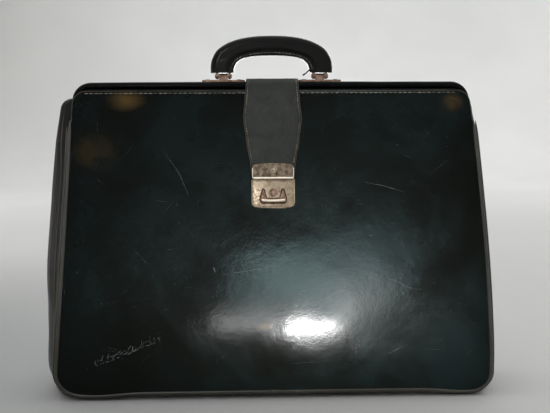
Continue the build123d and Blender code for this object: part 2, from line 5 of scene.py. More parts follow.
import bmesh
import bpy
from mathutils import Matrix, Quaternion, Vector, noise
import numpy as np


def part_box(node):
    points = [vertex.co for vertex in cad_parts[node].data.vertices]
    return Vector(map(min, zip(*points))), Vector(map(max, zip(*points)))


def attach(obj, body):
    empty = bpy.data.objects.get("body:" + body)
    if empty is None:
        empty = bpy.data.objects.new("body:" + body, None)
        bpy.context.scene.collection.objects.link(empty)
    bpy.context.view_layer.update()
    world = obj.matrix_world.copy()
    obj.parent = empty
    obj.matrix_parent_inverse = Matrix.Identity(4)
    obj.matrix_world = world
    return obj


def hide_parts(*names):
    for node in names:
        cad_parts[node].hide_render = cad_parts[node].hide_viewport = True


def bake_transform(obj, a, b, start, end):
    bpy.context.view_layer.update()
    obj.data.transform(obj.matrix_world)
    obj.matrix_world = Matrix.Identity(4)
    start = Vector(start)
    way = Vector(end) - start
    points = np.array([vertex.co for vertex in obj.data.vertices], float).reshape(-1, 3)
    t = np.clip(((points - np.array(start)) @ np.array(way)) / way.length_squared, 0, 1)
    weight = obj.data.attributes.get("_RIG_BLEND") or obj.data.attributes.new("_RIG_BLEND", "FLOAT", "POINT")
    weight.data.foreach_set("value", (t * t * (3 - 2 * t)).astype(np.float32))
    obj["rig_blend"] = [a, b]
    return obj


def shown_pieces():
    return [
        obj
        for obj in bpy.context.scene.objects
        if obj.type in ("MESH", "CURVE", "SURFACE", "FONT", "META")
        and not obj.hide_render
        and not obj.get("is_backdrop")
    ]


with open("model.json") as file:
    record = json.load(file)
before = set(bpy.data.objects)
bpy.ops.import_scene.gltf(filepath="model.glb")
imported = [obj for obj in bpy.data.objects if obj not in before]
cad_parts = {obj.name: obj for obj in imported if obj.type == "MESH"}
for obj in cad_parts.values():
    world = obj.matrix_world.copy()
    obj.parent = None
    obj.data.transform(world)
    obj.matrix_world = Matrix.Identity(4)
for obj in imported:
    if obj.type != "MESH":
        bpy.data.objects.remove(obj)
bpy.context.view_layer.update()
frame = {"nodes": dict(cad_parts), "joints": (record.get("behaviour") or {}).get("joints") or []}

# A framed leather bag: glossy worn black leather, a dull strap and an aged brass lock.
# Lengths are millimetres, turned to metres where a mesh is made. x runs to the right as the front is
# seen, y to the rear and z up. face is 1 for the front half of the bag and -1 for the rear; side is -1
# for the left and 1 for the right.
MM = 0.001
QUARTER = math.pi / 2
UP = Vector((0, 0, 1))
scene = bpy.context.scene
random.seed(7)

# ---- Sizes taken from the frame ----
PANEL_LOW, PANEL_HIGH = (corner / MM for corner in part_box("front_panel"))
BINDING_LOW, BINDING_HIGH = (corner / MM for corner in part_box("front_binding"))
HANDLE_LOW, HANDLE_HIGH = (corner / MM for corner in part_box("handle_cover"))
joint_at = {joint["name"]: Vector(joint.get("pos_m", (0, 0, 0))) / MM for joint in frame["joints"]}

SEAM_Z = PANEL_LOW.z                        # bottom seam of the panels
TOP_Z = PANEL_HIGH.z                        # top edge of the panels
TOP_Y = -PANEL_HIGH.y + 2.0                 # the front panel's outer face at its top edge
PIVOT_Z = joint_at["mouth_open"].z
ROLL_R = (BINDING_HIGH.y - BINDING_LOW.y) / 2
BAR_Z = BINDING_HIGH.z - ROLL_R
BAR_Y = -(BINDING_HIGH.y + BINDING_LOW.y) / 2
ARM_X = BINDING_HIGH.x - ROLL_R
FOLD_LOW = (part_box("gusset_right")[1] / MM).x

# ---- Sizes of the leather ----
BOTTOM_HALF, TOP_HALF = 202.5, 187.0        # half width of the panels at the seam and at the top
RIGHT_BOW, LEFT_BOW = 2.0, -2.6             # how far the sides bow midway: the right out, the left in
LEFT_CORNER, RIGHT_CORNER = 20.0, 14.0      # bottom corners; the left one is worn rounder
TOP_CORNER = 13.0
SLOPE = 0.188                               # slope of the panels' flat upper part
SLANT = math.atan(SLOPE)
LEATHER = 2.0
GUSSET_LEATHER = 1.7
PIPING_R, WELT_R = 1.75, 1.3
SEAM_TUCK = 1.6                             # how far the panel's edge turns in at the piping
EDGE_ROLL = 9.0                             # width over which the edge turns in
BELLY = 2.2                                 # how far the lower part bellies out in the middle
STITCH_DROP, GROOVE = 2.6, 0.5              # the stitched groove: how far below the top edge, how deep
GUSSET_TOP = PIVOT_Z + 19
GUSSET_TUCK = 1.2                           # how far inside the panel's edge the gusset begins
FLOOR_GAP = 0.12
HALVES = ((1, "front", "panel_front"), (-1, "rear", "bag_shell"))

# Half width over the side folds against height.
FOLDS = ((277, 195.0), (240, 201.0), (190, 206.5), (110, 211.5), (28, FOLD_LOW - 1.5))
# Half depth of the bag against height: flat above, bellied below, drawn in at the seam.
DEPTHS = ((TOP_Z, 10.8), (170.0, 33.0), (115.0, 41.6), (70.0, 46.0), (42.0, 46.8), (20.0, 44.8),
          (SEAM_Z, 42.0))


# ---- Small mathematics ----
def smooth(low, high, value):
    """0 below low, 1 above high, eased between."""
    t = min(1.0, max(0.0, (value - low) / (high - low)))
    return t * t * (3 - 2 * t)


def lerp(a, b, t):
    return a + (b - a) * t


def bell(value, centre, width):
    """1 at the centre, falling away to both sides."""
    return math.exp(-(((value - centre) / width) ** 2))


def spread(low, high, steps):
    """Evenly spaced values from low to high, both included."""
    return [lerp(low, high, i / steps) for i in range(steps + 1)]


def crowded(steps, amount):
    """Values from 0 to 1, drawn together at both ends by the given amount."""
    return [lerp(t, 0.5 - 0.5 * math.cos(math.pi * t), amount) for t in spread(0, 1, steps)]


def round_off(radius, gap):
    """How far a rounded corner draws an edge in, at a gap from the corner's end."""
    return radius - math.sqrt(max(0.0, radius**2 - (radius - gap) ** 2)) if gap < radius else 0.0


def turns(count):
    """Angles evenly spaced round a circle."""
    return [2 * math.pi * i / count for i in range(count)]


def hermite(points, value):
    """A smooth curve through (place, height) pairs in falling order of place."""
    if value >= points[0][0]:
        slope = (points[1][1] - points[0][1]) / (points[1][0] - points[0][0])
        return points[0][1] + slope * (value - points[0][0])
    slopes = []
    for i in range(len(points)):
        a, b = points[max(0, i - 1)], points[min(len(points) - 1, i + 1)]
        slopes.append((b[1] - a[1]) / (b[0] - a[0]))
    slopes[0] = slopes[1] = -SLOPE
    for i in range(len(points) - 1):
        (z1, y1), (z2, y2) = points[i], points[i + 1]
        if value >= z2:
            span = z2 - z1
            t = (value - z1) / span
            held = (2 * t**3 - 3 * t**2 + 1) * y1 + (3 * t**2 - 2 * t**3) * y2
            leant = (t**3 - 2 * t**2 + t) * slopes[i] + (t**3 - t**2) * slopes[i + 1]
            return held + leant * span
    return points[-1][1]


def curve_point(p0, p1, p2, p3, t):
    """A point a share t of the way from p1 to p2, on a smooth curve through all four."""
    bend = (2 * p0 - 5 * p1 + 4 * p2 - p3) * t * t + (3 * p1 - p0 - 3 * p2 + p3) * t**3
    return 0.5 * (2 * p1 + (p2 - p0) * t + bend)


def path_through(points, count):
    """Points evenly spaced in parameter on a smooth curve through the given points."""
    found = []
    last = len(points) - 1
    for place in spread(0, last, count):
        i = min(last - 1, int(place))
        found.append(curve_point(points[max(0, i - 1)], points[i], points[i + 1], points[min(last, i + 2)],
                                 place - i))
    return found


def wobble(x, y, z, size):
    """Smooth noise between about -1 and 1, with features of the given size."""
    return noise.noise(Vector((x, y, z)) / size)


def tapered(t, share):
    """Full over most of a cord's length, drawn in to a rounded end over a share of it."""
    return math.sqrt(min(1.0, 0.03 + min(t, 1 - t) / share))


# ---- Bag surfaces ----
def half_depth(z):
    return hermite(DEPTHS, z)


def half_width(z, side=1):
    """Half width of a panel at height z, before its corners are rounded."""
    share = (z - SEAM_Z) / (TOP_Z - SEAM_Z)
    bow = RIGHT_BOW if side > 0 else LEFT_BOW
    return lerp(BOTTOM_HALF, TOP_HALF, share) + bow * 4 * share * (1 - share)


def corner_radius(side):
    return LEFT_CORNER if side < 0 else RIGHT_CORNER


def seam_droop(x):
    """The bottom seam hangs a little lower near the corners."""
    return 2.4 * bell(x, -165, 24) + 2.6 * bell(x, 178, 24)


def row_half(z, side=1):
    """Half width of a panel at height z, with its corners rounded."""
    drawn_in = round_off(corner_radius(side), z - SEAM_Z) + round_off(TOP_CORNER, TOP_Z - z)
    return half_width(z, side) - drawn_in


def edge_gap(x, z):
    """Distance from a point of the panel to its nearest side or bottom edge."""
    side = half_width(z, x) - abs(x)
    low = z - SEAM_Z
    corner = corner_radius(x)
    if side < corner and low < corner:
        return corner - math.hypot(corner - side, corner - low)
    return min(side, low)


def panel_depth(x, z, face):
    """Distance of the leather's outer face from the middle plane."""
    gap = max(0.0, edge_gap(x, z))
    rolled = 1 - math.exp(-gap / EDGE_ROLL)
    depth = half_depth(z) - SEAM_TUCK * (1 - rolled)
    depth += smooth(190, 95, z) * rolled * BELLY * math.cos(x / BOTTOM_HALF * 1.35)
    waves = 0.8 * wobble(x, face * 90, z, 95) + 0.22 * wobble(x, face * 50, z, 31)
    depth += smooth(30, 120, abs(x) + max(0.0, 150 - z)) * rolled * waves
    if face > 0:
        depth += 0.9 * rolled * bell(x, 62, 30) * bell(z, 75, 26)
        depth -= 0.7 * rolled * bell(x, -95, 40) * bell(z, 95, 45)
    return depth - GROOVE * bell(z, TOP_Z - STITCH_DROP, 1.1)


def panel_point(x, z, face, lift=0.0):
    """A point of the front or rear panel, raised off the leather by lift."""
    return Vector((x, -face * (panel_depth(x, z, face) + lift), z))


def on_face(x, v, w, face=1):
    """A point on the flat upper part of a panel: v up the slope from the top edge, w outward."""
    y = -TOP_Y - math.cos(SLANT) * w + math.sin(SLANT) * v
    z = TOP_Z + math.sin(SLANT) * w + math.cos(SLANT) * v
    return Vector((x, face * y, z))


# ---- Meshes: each is a pair of points and faces ----
def joined(parts):
    """Several meshes as one."""
    points, faces = [], []
    for part_points, part_faces in parts:
        start = len(points)
        points += part_points
        faces += [tuple(start + i for i in face) for face in part_faces]
    return points, faces


def grid_faces(rows, columns, closed=False):
    """Quads between rows of points. closed joins each row's end to its start."""
    faces = []
    for r in range(rows - 1):
        for c in range(columns if closed else columns - 1):
            d = (c + 1) % columns
            faces.append((r * columns + c, r * columns + d, (r + 1) * columns + d, (r + 1) * columns + c))
    return faces


def skin_mesh(rings):
    """A closed skin over a row of rings, with both ends capped."""
    count = len(rings[0])
    points = [point for ring in rings for point in ring]
    faces = grid_faces(len(rings), count, closed=True)
    faces.append(tuple(range(count)))
    faces.append(tuple(range(len(points) - count, len(points))))
    return points, faces


def sheet_mesh(rows, thickness):
    """A closed sheet from rows of points, thickened to the side its normals leave."""
    count, columns = len(rows), len(rows[0])
    outer = [point for row in rows for point in row]
    inner = []
    for r in range(count):
        for c in range(columns):
            up = rows[min(count - 1, r + 1)][c] - rows[max(0, r - 1)][c]
            across = rows[r][min(columns - 1, c + 1)] - rows[r][max(0, c - 1)]
            normal = up.cross(across)
            if normal.length < 1e-9:
                normal = Vector((0, 1, 0))
            inner.append(rows[r][c] + normal.normalized() * thickness)
    front = grid_faces(count, columns)
    shift = len(outer)
    back = [tuple(shift + i for i in reversed(face)) for face in front]
    ring = list(range(columns))
    ring += [r * columns + columns - 1 for r in range(1, count)]
    ring += [(count - 1) * columns + c for c in range(columns - 2, -1, -1)]
    ring += [r * columns for r in range(count - 2, 0, -1)]
    rim = [(a, b, shift + b, shift + a) for a, b in zip(ring, ring[1:] + ring[:1])]
    return outer + inner, front + back + rim


def tube_mesh(path, radius, sides=12, up=Vector((0, 1, 0))):
    """A round tube with closed ends. radius may be a function of the share of the way along."""
    rings = []
    last = len(path) - 1
    for i, place in enumerate(path):
        ahead = (path[min(last, i + 1)] - path[max(0, i - 1)]).normalized()
        side = ahead.cross(up)
        side = side.normalized() if side.length > 1e-6 else Vector((1, 0, 0))
        over = side.cross(ahead).normalized()
        size = radius(i / last) if callable(radius) else radius
        rings.append([place + side * math.cos(turn) * size + over * math.sin(turn) * size
                      for turn in turns(sides)])
    return skin_mesh(rings)


def plate_mesh(outline, low, high, bevel=0.3, steps=2):
    """A flat plate with rounded edges on the panel's face: an outline of (x, v), between two heights w."""
    count = len(outline)
    area = sum(a[0] * b[1] - b[0] * a[1] for a, b in zip(outline, outline[1:] + outline[:1]))
    if area < 0:
        outline = outline[::-1]
    inward = []
    for i in range(count):
        before, here, after = (Vector(outline[j % count]) for j in (i - 1, i, i + 1))
        one = (here - before).normalized()
        two = (after - here).normalized()
        bisect = Vector((-one.y - two.y, one.x + two.x))
        inward.append(bisect.normalized() / max(0.5, math.sqrt((1 + one.dot(two)) / 2)))
    levels = [(bevel * (1 - math.sin(turn)), low + bevel * (1 - math.cos(turn)))
              for turn in spread(0, QUARTER, steps)]
    levels += [(inset, low + high - w) for inset, w in reversed(levels)]
    return skin_mesh([[on_face(x + turn_in.x * inset, v + turn_in.y * inset, w)
                       for (x, v), turn_in in zip(outline, inward)] for inset, w in levels])


def circle(radius, v, count):
    """An outline of (x, v) round the panel's middle line."""
    return [(radius * math.cos(turn), v + radius * math.sin(turn)) for turn in turns(count)]


def lathe_mesh(profile, v, count=36):
    """A turned piece on the panel's middle line: (radius, w) pairs."""
    return skin_mesh([[on_face(x, y, w) for x, y in circle(radius, v, count)] for radius, w in profile])


def mirrored(half):
    """An outline of (x, v) from its right half."""
    return half + [(-x, v) for x, v in half[::-1]]


def rounded(outline, radius, steps=3):
    """An outline of (x, v) corners, each rounded as far as its sides allow."""
    found = []
    count = len(outline)
    for i in range(count):
        before, here, after = (Vector(outline[j % count]) for j in (i - 1, i, i + 1))
        reach = min(radius, (before - here).length * 0.45, (after - here).length * 0.45)
        start = here + (before - here).normalized() * reach
        end = here + (after - here).normalized() * reach
        for t in spread(0, 1, steps):
            found.append(tuple((1 - t) ** 2 * start + 2 * t * (1 - t) * here + t * t * end))
    return found


def stitch_parts(path, pitch, length, radius, up, skip=None):
    """Separate thread stitches laid along a path."""
    parts = []
    travelled = 0.0
    wanted = pitch / 2
    for a, b in zip(path, path[1:]):
        span = (b - a).length
        while travelled + span >= wanted:
            middle = a + (b - a) * ((wanted - travelled) / span)
            wanted += pitch
            if skip and skip(middle):
                continue
            along = (b - a).normalized() * length / 2
            rise = up * radius * 0.7
            held = along * 0.55
            points = [middle - along, middle - held + rise, middle + held + rise, middle + along]
            parts.append(tube_mesh(points, lambda t: radius * (0.45 + 0.55 * math.sin(math.pi * t)), 6, up))
        travelled += span
    return parts


# ---- Materials ----
class Paint:
    """A procedural material being put together."""

    def __init__(self, name, colour, rough, metallic=0.0):
        self.material = bpy.data.materials.new(name)
        self.material.use_nodes = True
        self.tree = self.material.node_tree
        self.inputs = self.tree.nodes["Principled BSDF"].inputs
        self.feed(self.inputs["Base Color"], colour)
        self.feed(self.inputs["Roughness"], rough)
        self.feed(self.inputs["Metallic"], metallic)
        self.plain = self.place()

    def feed(self, socket, value):
        """Sets a socket to a number, a colour or a vector, or links it to another socket."""
        if isinstance(value, bpy.types.NodeSocket):
            self.tree.links.new(value, socket)
        else:
            socket.default_value = (*value, 1) if socket.type == "RGBA" else value

    def node(self, kind, inputs=(), **settings):
        """A new node. inputs are (name, value or socket) pairs."""
        made = self.tree.nodes.new("ShaderNode" + kind)
        for name, value in settings.items():
            setattr(made, name, value)
        for name, value in inputs:
            self.feed(made.inputs[name], value)
        return made

    def place(self, stretch=(1, 1, 1), turn=(0, 0, 0), shift=(0, 0, 0)):
        """Object coordinates in metres, stretched, turned and shifted."""
        where = self.node("TexCoord").outputs["Object"]
        inputs = (("Vector", where), ("Scale", stretch), ("Rotation", turn), ("Location", shift))
        return self.node("Mapping", inputs).outputs["Vector"]

    def noise(self, vector, scale, detail=4.0, rough=0.55, warp=0.0):
        inputs = (("Vector", vector), ("Scale", scale), ("Detail", detail), ("Roughness", rough),
                  ("Distortion", warp))
        return self.node("TexNoise", inputs).outputs["Fac"]

    def cells(self, vector, scale, feature="F1"):
        inputs = (("Vector", vector), ("Scale", scale))
        return self.node("TexVoronoi", inputs, feature=feature).outputs["Distance"]

    def between(self, value, low, high, out_low=0.0, out_high=1.0):
        """Remaps a value smoothly."""
        inputs = (("Value", value), ("From Min", low), ("From Max", high), ("To Min", out_low),
                  ("To Max", out_high))
        return self.node("MapRange", inputs, interpolation_type="SMOOTHSTEP").outputs["Result"]

    def maths(self, kind, a, b):
        return self.node("Math", ((0, a), (1, b)), operation=kind).outputs["Value"]

    def tint(self, share, first, second):
        """Mixes two colours; either may be a socket."""
        inputs = (("Factor", share), ("A", first), ("B", second))
        return self.node("Mix", inputs, data_type="RGBA").outputs["Result"]

    def spot(self, centre, size):
        """1 at a place in the bag's own coordinates, falling to 0 over an ellipsoid of that size, in mm."""
        vector = self.place([1 / (s * MM) for s in size], shift=[-c / s for c, s in zip(centre, size)])
        length = self.node("VectorMath", ((0, vector),), operation="LENGTH").outputs["Value"]
        return self.between(length, 1.0, 0.0)

    def bump(self, height, strength, distance):
        """Adds a bump from a height value, on top of any bump already there."""
        inputs = (("Height", height), ("Strength", strength), ("Distance", distance))
        made = self.node("Bump", inputs)
        before = self.inputs["Normal"]
        if before.is_linked:
            self.feed(made.inputs["Normal"], before.links[0].from_socket)
        self.feed(before, made.outputs["Normal"])

    def colour(self, value):
        self.feed(self.inputs["Base Color"], value)


def leather(name, dark, light, brown, rough, gloss, grain, worn=()):
    """Leather with pores, clouding, fine scuffs and worn brown patches."""
    paint = Paint(name, dark, rough)
    cloud = paint.noise(paint.plain, 9.0, 5.0, 0.6, 0.6)
    colour = paint.tint(paint.between(cloud, 0.36, 0.72), dark, light)
    blotch = paint.noise(paint.plain, 31.0, 5.0, 0.62, 0.4)
    for centre, size, amount in worn:
        patch = paint.maths("MULTIPLY", paint.spot(centre, size), paint.between(blotch, 0.33, 0.68))
        colour = paint.tint(paint.maths("MULTIPLY", patch, amount), colour, brown)
    scuff = paint.noise(paint.place((34, 34, 2.4), (0, 0.5, 0)), 26.0, 3.0, 0.6)
    cross = paint.noise(paint.place((3.0, 30, 40), (0, -0.35, 0)), 24.0, 3.0, 0.6)
    rubbed = paint.maths("MAXIMUM", paint.between(scuff, 0.66, 0.86), paint.between(cross, 0.68, 0.88))
    paint.colour(paint.tint(paint.maths("MULTIPLY", rubbed, 0.22), colour, brown))
    haze = paint.between(cloud, 0.3, 0.75, rough - 0.07, rough + 0.1)
    paint.feed(paint.inputs["Roughness"], paint.maths("ADD", haze, paint.maths("MULTIPLY", rubbed, 0.16)))
    paint.feed(paint.inputs["Specular IOR Level"], gloss)
    paint.bump(paint.noise(paint.plain, 60.0, 4.0, 0.6), 0.22, 0.0012)
    paint.bump(paint.cells(paint.plain, 900.0), grain, 0.00025)
    paint.bump(rubbed, 0.25, 0.0002)
    return paint.material


def dull_leather():
    """The strap: dry, cracked and rubbed, with no shine left."""
    paint = Paint("strap_leather", (0.02, 0.021, 0.018), 0.62)
    cloud = paint.noise(paint.plain, 60.0, 6.0, 0.65, 0.5)
    colour = paint.tint(paint.between(cloud, 0.3, 0.74), (0.009, 0.011, 0.0095), (0.034, 0.038, 0.034))
    rub = paint.noise(paint.place((1, 1, 0.35)), 170.0, 5.0, 0.7, 0.8)
    colour = paint.tint(paint.between(rub, 0.56, 0.78, 0, 0.5), colour, (0.07, 0.068, 0.058))
    crack = paint.cells(paint.place((1.2, 1, 0.55)), 260.0, "DISTANCE_TO_EDGE")
    lines = paint.between(crack, 0.0, 0.055, 1.0, 0.0)
    lines = paint.maths("MULTIPLY", lines, paint.between(cloud, 0.42, 0.62))
    paint.colour(paint.tint(paint.maths("MULTIPLY", lines, 0.3), colour, (0.008, 0.007, 0.006)))
    paint.feed(paint.inputs["Roughness"], paint.between(cloud, 0.3, 0.7, 0.5, 0.72))
    paint.feed(paint.inputs["Specular IOR Level"], 0.35)
    paint.bump(cloud, 0.4, 0.0009)
    paint.bump(lines, -0.25, 0.0003)
    paint.bump(paint.cells(paint.plain, 1100.0), 0.35, 0.0002)
    return paint.material


def aged_metal(name, bright, middle, dark, rough, amount):
    """Plated metal with tarnish in blotches, pits and fine rubbing."""
    paint = Paint(name, bright, rough, 1.0)
    patina = paint.noise(paint.plain, 260.0, 7.0, 0.75, 0.25)
    fine = paint.noise(paint.plain, 900.0, 5.0, 0.7)
    colour = paint.tint(paint.between(patina, 0.38, 0.62), bright, middle)
    spots = paint.maths("ADD", paint.maths("MULTIPLY", patina, 0.6), paint.maths("MULTIPLY", fine, 0.4))
    stain = paint.between(spots, 0.66 - amount * 0.3, 0.8 - amount * 0.3)
    paint.colour(paint.tint(paint.maths("MULTIPLY", stain, 0.85), colour, dark))
    paint.feed(paint.inputs["Roughness"], paint.between(spots, 0.35, 0.65, rough - 0.08, rough + 0.25))
    paint.bump(fine, 0.35, 0.00012)
    paint.bump(paint.noise(paint.place((60, 6, 3)), 40.0, 3.0), 0.12, 0.0001)
    return paint.material


def woven(name, dark, light):
    """Plain woven lining cloth."""
    paint = Paint(name, dark, 0.92)
    checks = []
    for stretch, along in (((1, 0.05, 0.05), "X"), ((0.05, 0.05, 1), "Z")):
        inputs = (("Vector", paint.place(stretch)), ("Scale", 420.0), ("Distortion", 0.6))
        checks.append(paint.node("TexWave", inputs, bands_direction=along).outputs["Fac"])
    weave = paint.maths("MULTIPLY", *checks)
    dirt = paint.between(paint.noise(paint.plain, 24.0, 5.0), 0.3, 0.7, 0.55, 1.0)
    paint.colour(paint.tint(paint.maths("MULTIPLY", weave, dirt), dark, light))
    paint.bump(weave, 0.5, 0.0004)
    return paint.material


def thread():
    paint = Paint("thread", (0.12, 0.105, 0.085), 0.8)
    dirt = paint.between(paint.noise(paint.plain, 140.0, 4.0), 0.35, 0.65)
    paint.colour(paint.tint(dirt, (0.07, 0.06, 0.05), (0.3, 0.26, 0.21)))
    paint.bump(paint.noise(paint.place((3, 1, 1)), 900.0, 2.0), 0.6, 0.0002)
    return paint.material


def scratch_paint():
    """The pale torn surface inside a scratch."""
    paint = Paint("scratched_leather", (0.2, 0.21, 0.2), 0.5)
    fleck = paint.between(paint.noise(paint.plain, 420.0, 3.0), 0.35, 0.65)
    paint.colour(paint.tint(fleck, (0.05, 0.056, 0.056), (0.25, 0.27, 0.27)))
    return paint.material


# Brown patches worn into the front panel: centre, size, strength.
WORN_PANEL = (
    ((-138, -14, 279), (24, 30, 13), 0.9),
    ((-165, -22, 232), (26, 40, 22), 0.45),
    ((170, -14, 276), (13, 30, 12), 0.9),
    ((42, -30, 276), (10, 30, 14), 0.5),
    ((-10, -46, 71), (11, 20, 5), 1.0),
)
black = leather("black_leather", (0.0007, 0.0008, 0.0006), (0.001, 0.0019, 0.0019),
                (0.026, 0.015, 0.005), 0.235, 0.06, 0.08, WORN_PANEL)
gusset_black = leather("gusset_leather", (0.0016, 0.0017, 0.0014), (0.0042, 0.0042, 0.0035),
                       (0.02, 0.017, 0.013), 0.34, 0.17, 0.25)
piping_black = leather("piping_leather", (0.017, 0.0162, 0.0125), (0.05, 0.047, 0.037),
                       (0.11, 0.095, 0.07), 0.34, 0.5, 0.25)
# Pale leather for thin lines on edges and folds: partly rubbed and cut edges, partly painted highlight.
rubbed_edge_and_highlight = leather("rubbed_edge_and_highlight", (0.03, 0.025, 0.019), (0.085, 0.069, 0.052),
                      (0.15, 0.12, 0.092), 0.4, 0.3, 0.25)
handle_black = leather("handle_leather", (0.0013, 0.0013, 0.001), (0.0032, 0.0033, 0.0024),
                       (0.016, 0.011, 0.006), 0.2, 0.17, 0.1)
strap_dull = dull_leather()
brass = aged_metal("aged_brass", (0.46, 0.375, 0.275), (0.31, 0.238, 0.17), (0.1, 0.068, 0.044), 0.3, 0.4)
# A much lighter copy of the brass for the hasp's rolled edges and the catch's grip bar: painted highlight.
brass_painted_highlight = aged_metal("brass_painted_highlight", (0.92, 0.84, 0.72), (0.8, 0.7, 0.56), (0.3, 0.22, 0.14), 0.24, 0.3)
hasp_brass = aged_metal("hasp_brass", (0.25, 0.2, 0.15), (0.12, 0.093, 0.066), (0.04, 0.03, 0.02), 0.4, 0.5)
# Dark brown metal used only as painted shade: round the catch and in the keyhole.
slot_painted_shade = aged_metal("slot_painted_shade", (0.06, 0.035, 0.02), (0.035, 0.02, 0.012), (0.012, 0.008, 0.005),
                        0.5, 0.5)
plug_brass = aged_metal("plug_brass", (0.3, 0.19, 0.14), (0.2, 0.12, 0.085), (0.05, 0.03, 0.02), 0.42, 0.5)
copper = aged_metal("coppered_steel", (0.3, 0.205, 0.155), (0.19, 0.115, 0.085), (0.055, 0.03, 0.021),
                    0.4, 0.45)
dark_metal = aged_metal("dark_steel", (0.16, 0.12, 0.09), (0.09, 0.06, 0.045), (0.02, 0.014, 0.01), 0.5, 0.5)
steel = aged_metal("frame_steel", (0.5, 0.49, 0.46), (0.35, 0.33, 0.3), (0.12, 0.1, 0.08), 0.38, 0.35)
lining_cloth = woven("lining_cloth", (0.09, 0.07, 0.05), (0.26, 0.21, 0.15))
board_paper = woven("board", (0.1, 0.075, 0.05), (0.2, 0.155, 0.11))
thread_paint = thread()
scratch_pale = scratch_paint()


# ---- Pieces ----
def new_object(name, points, faces):
    """A smooth-shaded mesh object from points in millimetres."""
    mesh = bpy.data.meshes.new(name)
    mesh.from_pydata([tuple(Vector(p) * MM) for p in points], [], faces)
    mesh.validate()
    fixer = bmesh.new()
    fixer.from_mesh(mesh)
    bmesh.ops.remove_doubles(fixer, verts=fixer.verts, dist=1e-7)
    bmesh.ops.recalc_face_normals(fixer, faces=fixer.faces)
    fixer.to_mesh(mesh)
    fixer.free()
    mesh.shade_smooth()
    piece = bpy.data.objects.new(name, mesh)
    scene.collection.objects.link(piece)
    return piece


def auto_smooth(piece, angle=0.6):
    """Smooth shading that keeps edges sharper than the angle."""
    piece.data.shade_smooth()
    piece.data.set_sharp_from_angle(angle=angle)
    return piece


def finish_piece(piece, paint, slot, body, *nodes):
    """Gives a piece its material and its body, and hides the CAD nodes it stands for."""
    piece.data.materials.append(paint)
    if body:
        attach(piece, body)
    if nodes:
        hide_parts(*nodes)
    return piece


def soft_piece(name, mesh, paint, slot, body, *nodes):
    """A piece of leather or thread."""
    return finish_piece(new_object(name, *mesh), paint, slot, body, *nodes)


def metal_piece(name, mesh, paint, body, *nodes):
    """A piece of the lock or hasp, with its sharper edges kept."""
    return finish_piece(auto_smooth(new_object(name, *mesh)), paint, "aged_brass", body, *nodes)


# ---- Panels ----
def panel_rows(face):
    """Rows of points over a panel, from the seam up to the top edge, closer near the edges."""
    rows = []
    for share in crowded(132, 0.55):
        z = lerp(SEAM_Z, TOP_Z + 1.0, share)
        row = []
        for place in (2 * t - 1 for t in crowded(170, 0.5)):
            x = place * row_half(min(z, TOP_Z), place)
            point = panel_point(x, z, face)
            point.z -= smooth(60, SEAM_Z, z) * seam_droop(x)
            row.append(point)
        rows.append(row if face > 0 else row[::-1])
    return rows


def build_panels():
    for face, half, body in HALVES:
        soft_piece(f"{half}_panel_leather", sheet_mesh(panel_rows(face), LEATHER), black, "black_leather",
                   body, f"{half}_panel")


# ---- Edge of the panels: piping and gusset ----
def edge_stations(top_z, step=5.0):
    """(kind, side, value) round a panel's edge, from the left top to the right top.

    value is a height on a side, an angle on a corner and an x along the bottom.
    """
    count = int((top_z - SEAM_Z - LEFT_CORNER) / step)
    across = int(2 * (BOTTOM_HALF - LEFT_CORNER) / step)
    left, right = ([("side", side, z) for z in spread(top_z, SEAM_Z + corner_radius(side), count)[:-1]]
                   + [("corner", side, turn) for turn in spread(0, QUARTER, 14)[:-1]] for side in (-1, 1))
    bottom = spread(LEFT_CORNER - BOTTOM_HALF, BOTTOM_HALF - RIGHT_CORNER, across)
    return left + [("bottom", 0, x) for x in bottom] + right[::-1]


def edge_place(station, reach):
    """(x, z, share) reach outside the panel's edge. share is 0 on the sides and 1 along the bottom."""
    kind, side, value = station
    if kind == "side":
        return side * (half_width(value, side) + reach), value, 0.0
    if kind == "bottom":
        return value, SEAM_Z - reach - seam_droop(value), 1.0
    corner = corner_radius(side)
    centre_x = half_width(SEAM_Z + corner, side) - corner
    x = side * (centre_x + (corner + reach) * math.cos(value))
    z = SEAM_Z + corner - (corner + reach) * math.sin(value)
    share = value / QUARTER
    x = lerp(x, side * (BOTTOM_HALF - corner + (abs(x) - centre_x)), share)
    return x, z - share * seam_droop(x), share


def edge_path(face, reach, back, top_z):
    """A line that follows a panel's edge, outside it by reach and behind its outer face by back."""
    line = []
    for station in edge_stations(top_z):
        x, z, share = edge_place(station, reach)
        depth = half_depth(max(SEAM_Z, z)) - SEAM_TUCK - back
        line.append(Vector((x, -face * depth, z)))
    return line


def build_piping():
    for face, half, body in HALVES:
        def thickness(t):
            return (PIPING_R + 0.12 * wobble(t * 900, face * 40, 0, 40)) * tapered(t, 0.012)

        line = edge_path(face, 0.9, 0.6, PIVOT_Z - 1)
        soft_piece(f"{half}_piping_cord", tube_mesh(line, thickness, 10), piping_black, "piping_leather",
                   body, f"{half}_piping")


def fold_half(z, side):
    """Half width of the bag over the side fold at height z. The left fold stands out further."""
    more = 4.8 + 2.4 * bell(z, 125, 45) if side < 0 else -4.0 * smooth(60, 150, z)
    for (z1, x1), (z2, x2) in zip(FOLDS, FOLDS[1:]):
        if z >= z2:
            return lerp(x1, x2, (z1 - z) / (z1 - z2)) + more
    return FOLDS[-1][1] + more


def gusset_reach(station, z0, share):
    """How far the gusset's fold stands out from the panel's edge."""
    kind, side, value = station
    reach_side = fold_half(z0, side) - half_width(z0, side) + GUSSET_TUCK
    shoulder = 8.5
    over = z0 - (GUSSET_TOP - 9)
    if over > 0:
        reach_side -= shoulder - math.sqrt(shoulder**2 - min(8.4, over * 0.93) ** 2)
    reach_base = max(2.0, z0 - 0.25) if kind != "side" else 8.0
    if kind == "corner":
        reach_base = max(2.0, z0 / max(0.35, math.sin(value))) if value > 0.6 else reach_side
    return lerp(reach_side, reach_base, smooth(0.25, 0.95, share))


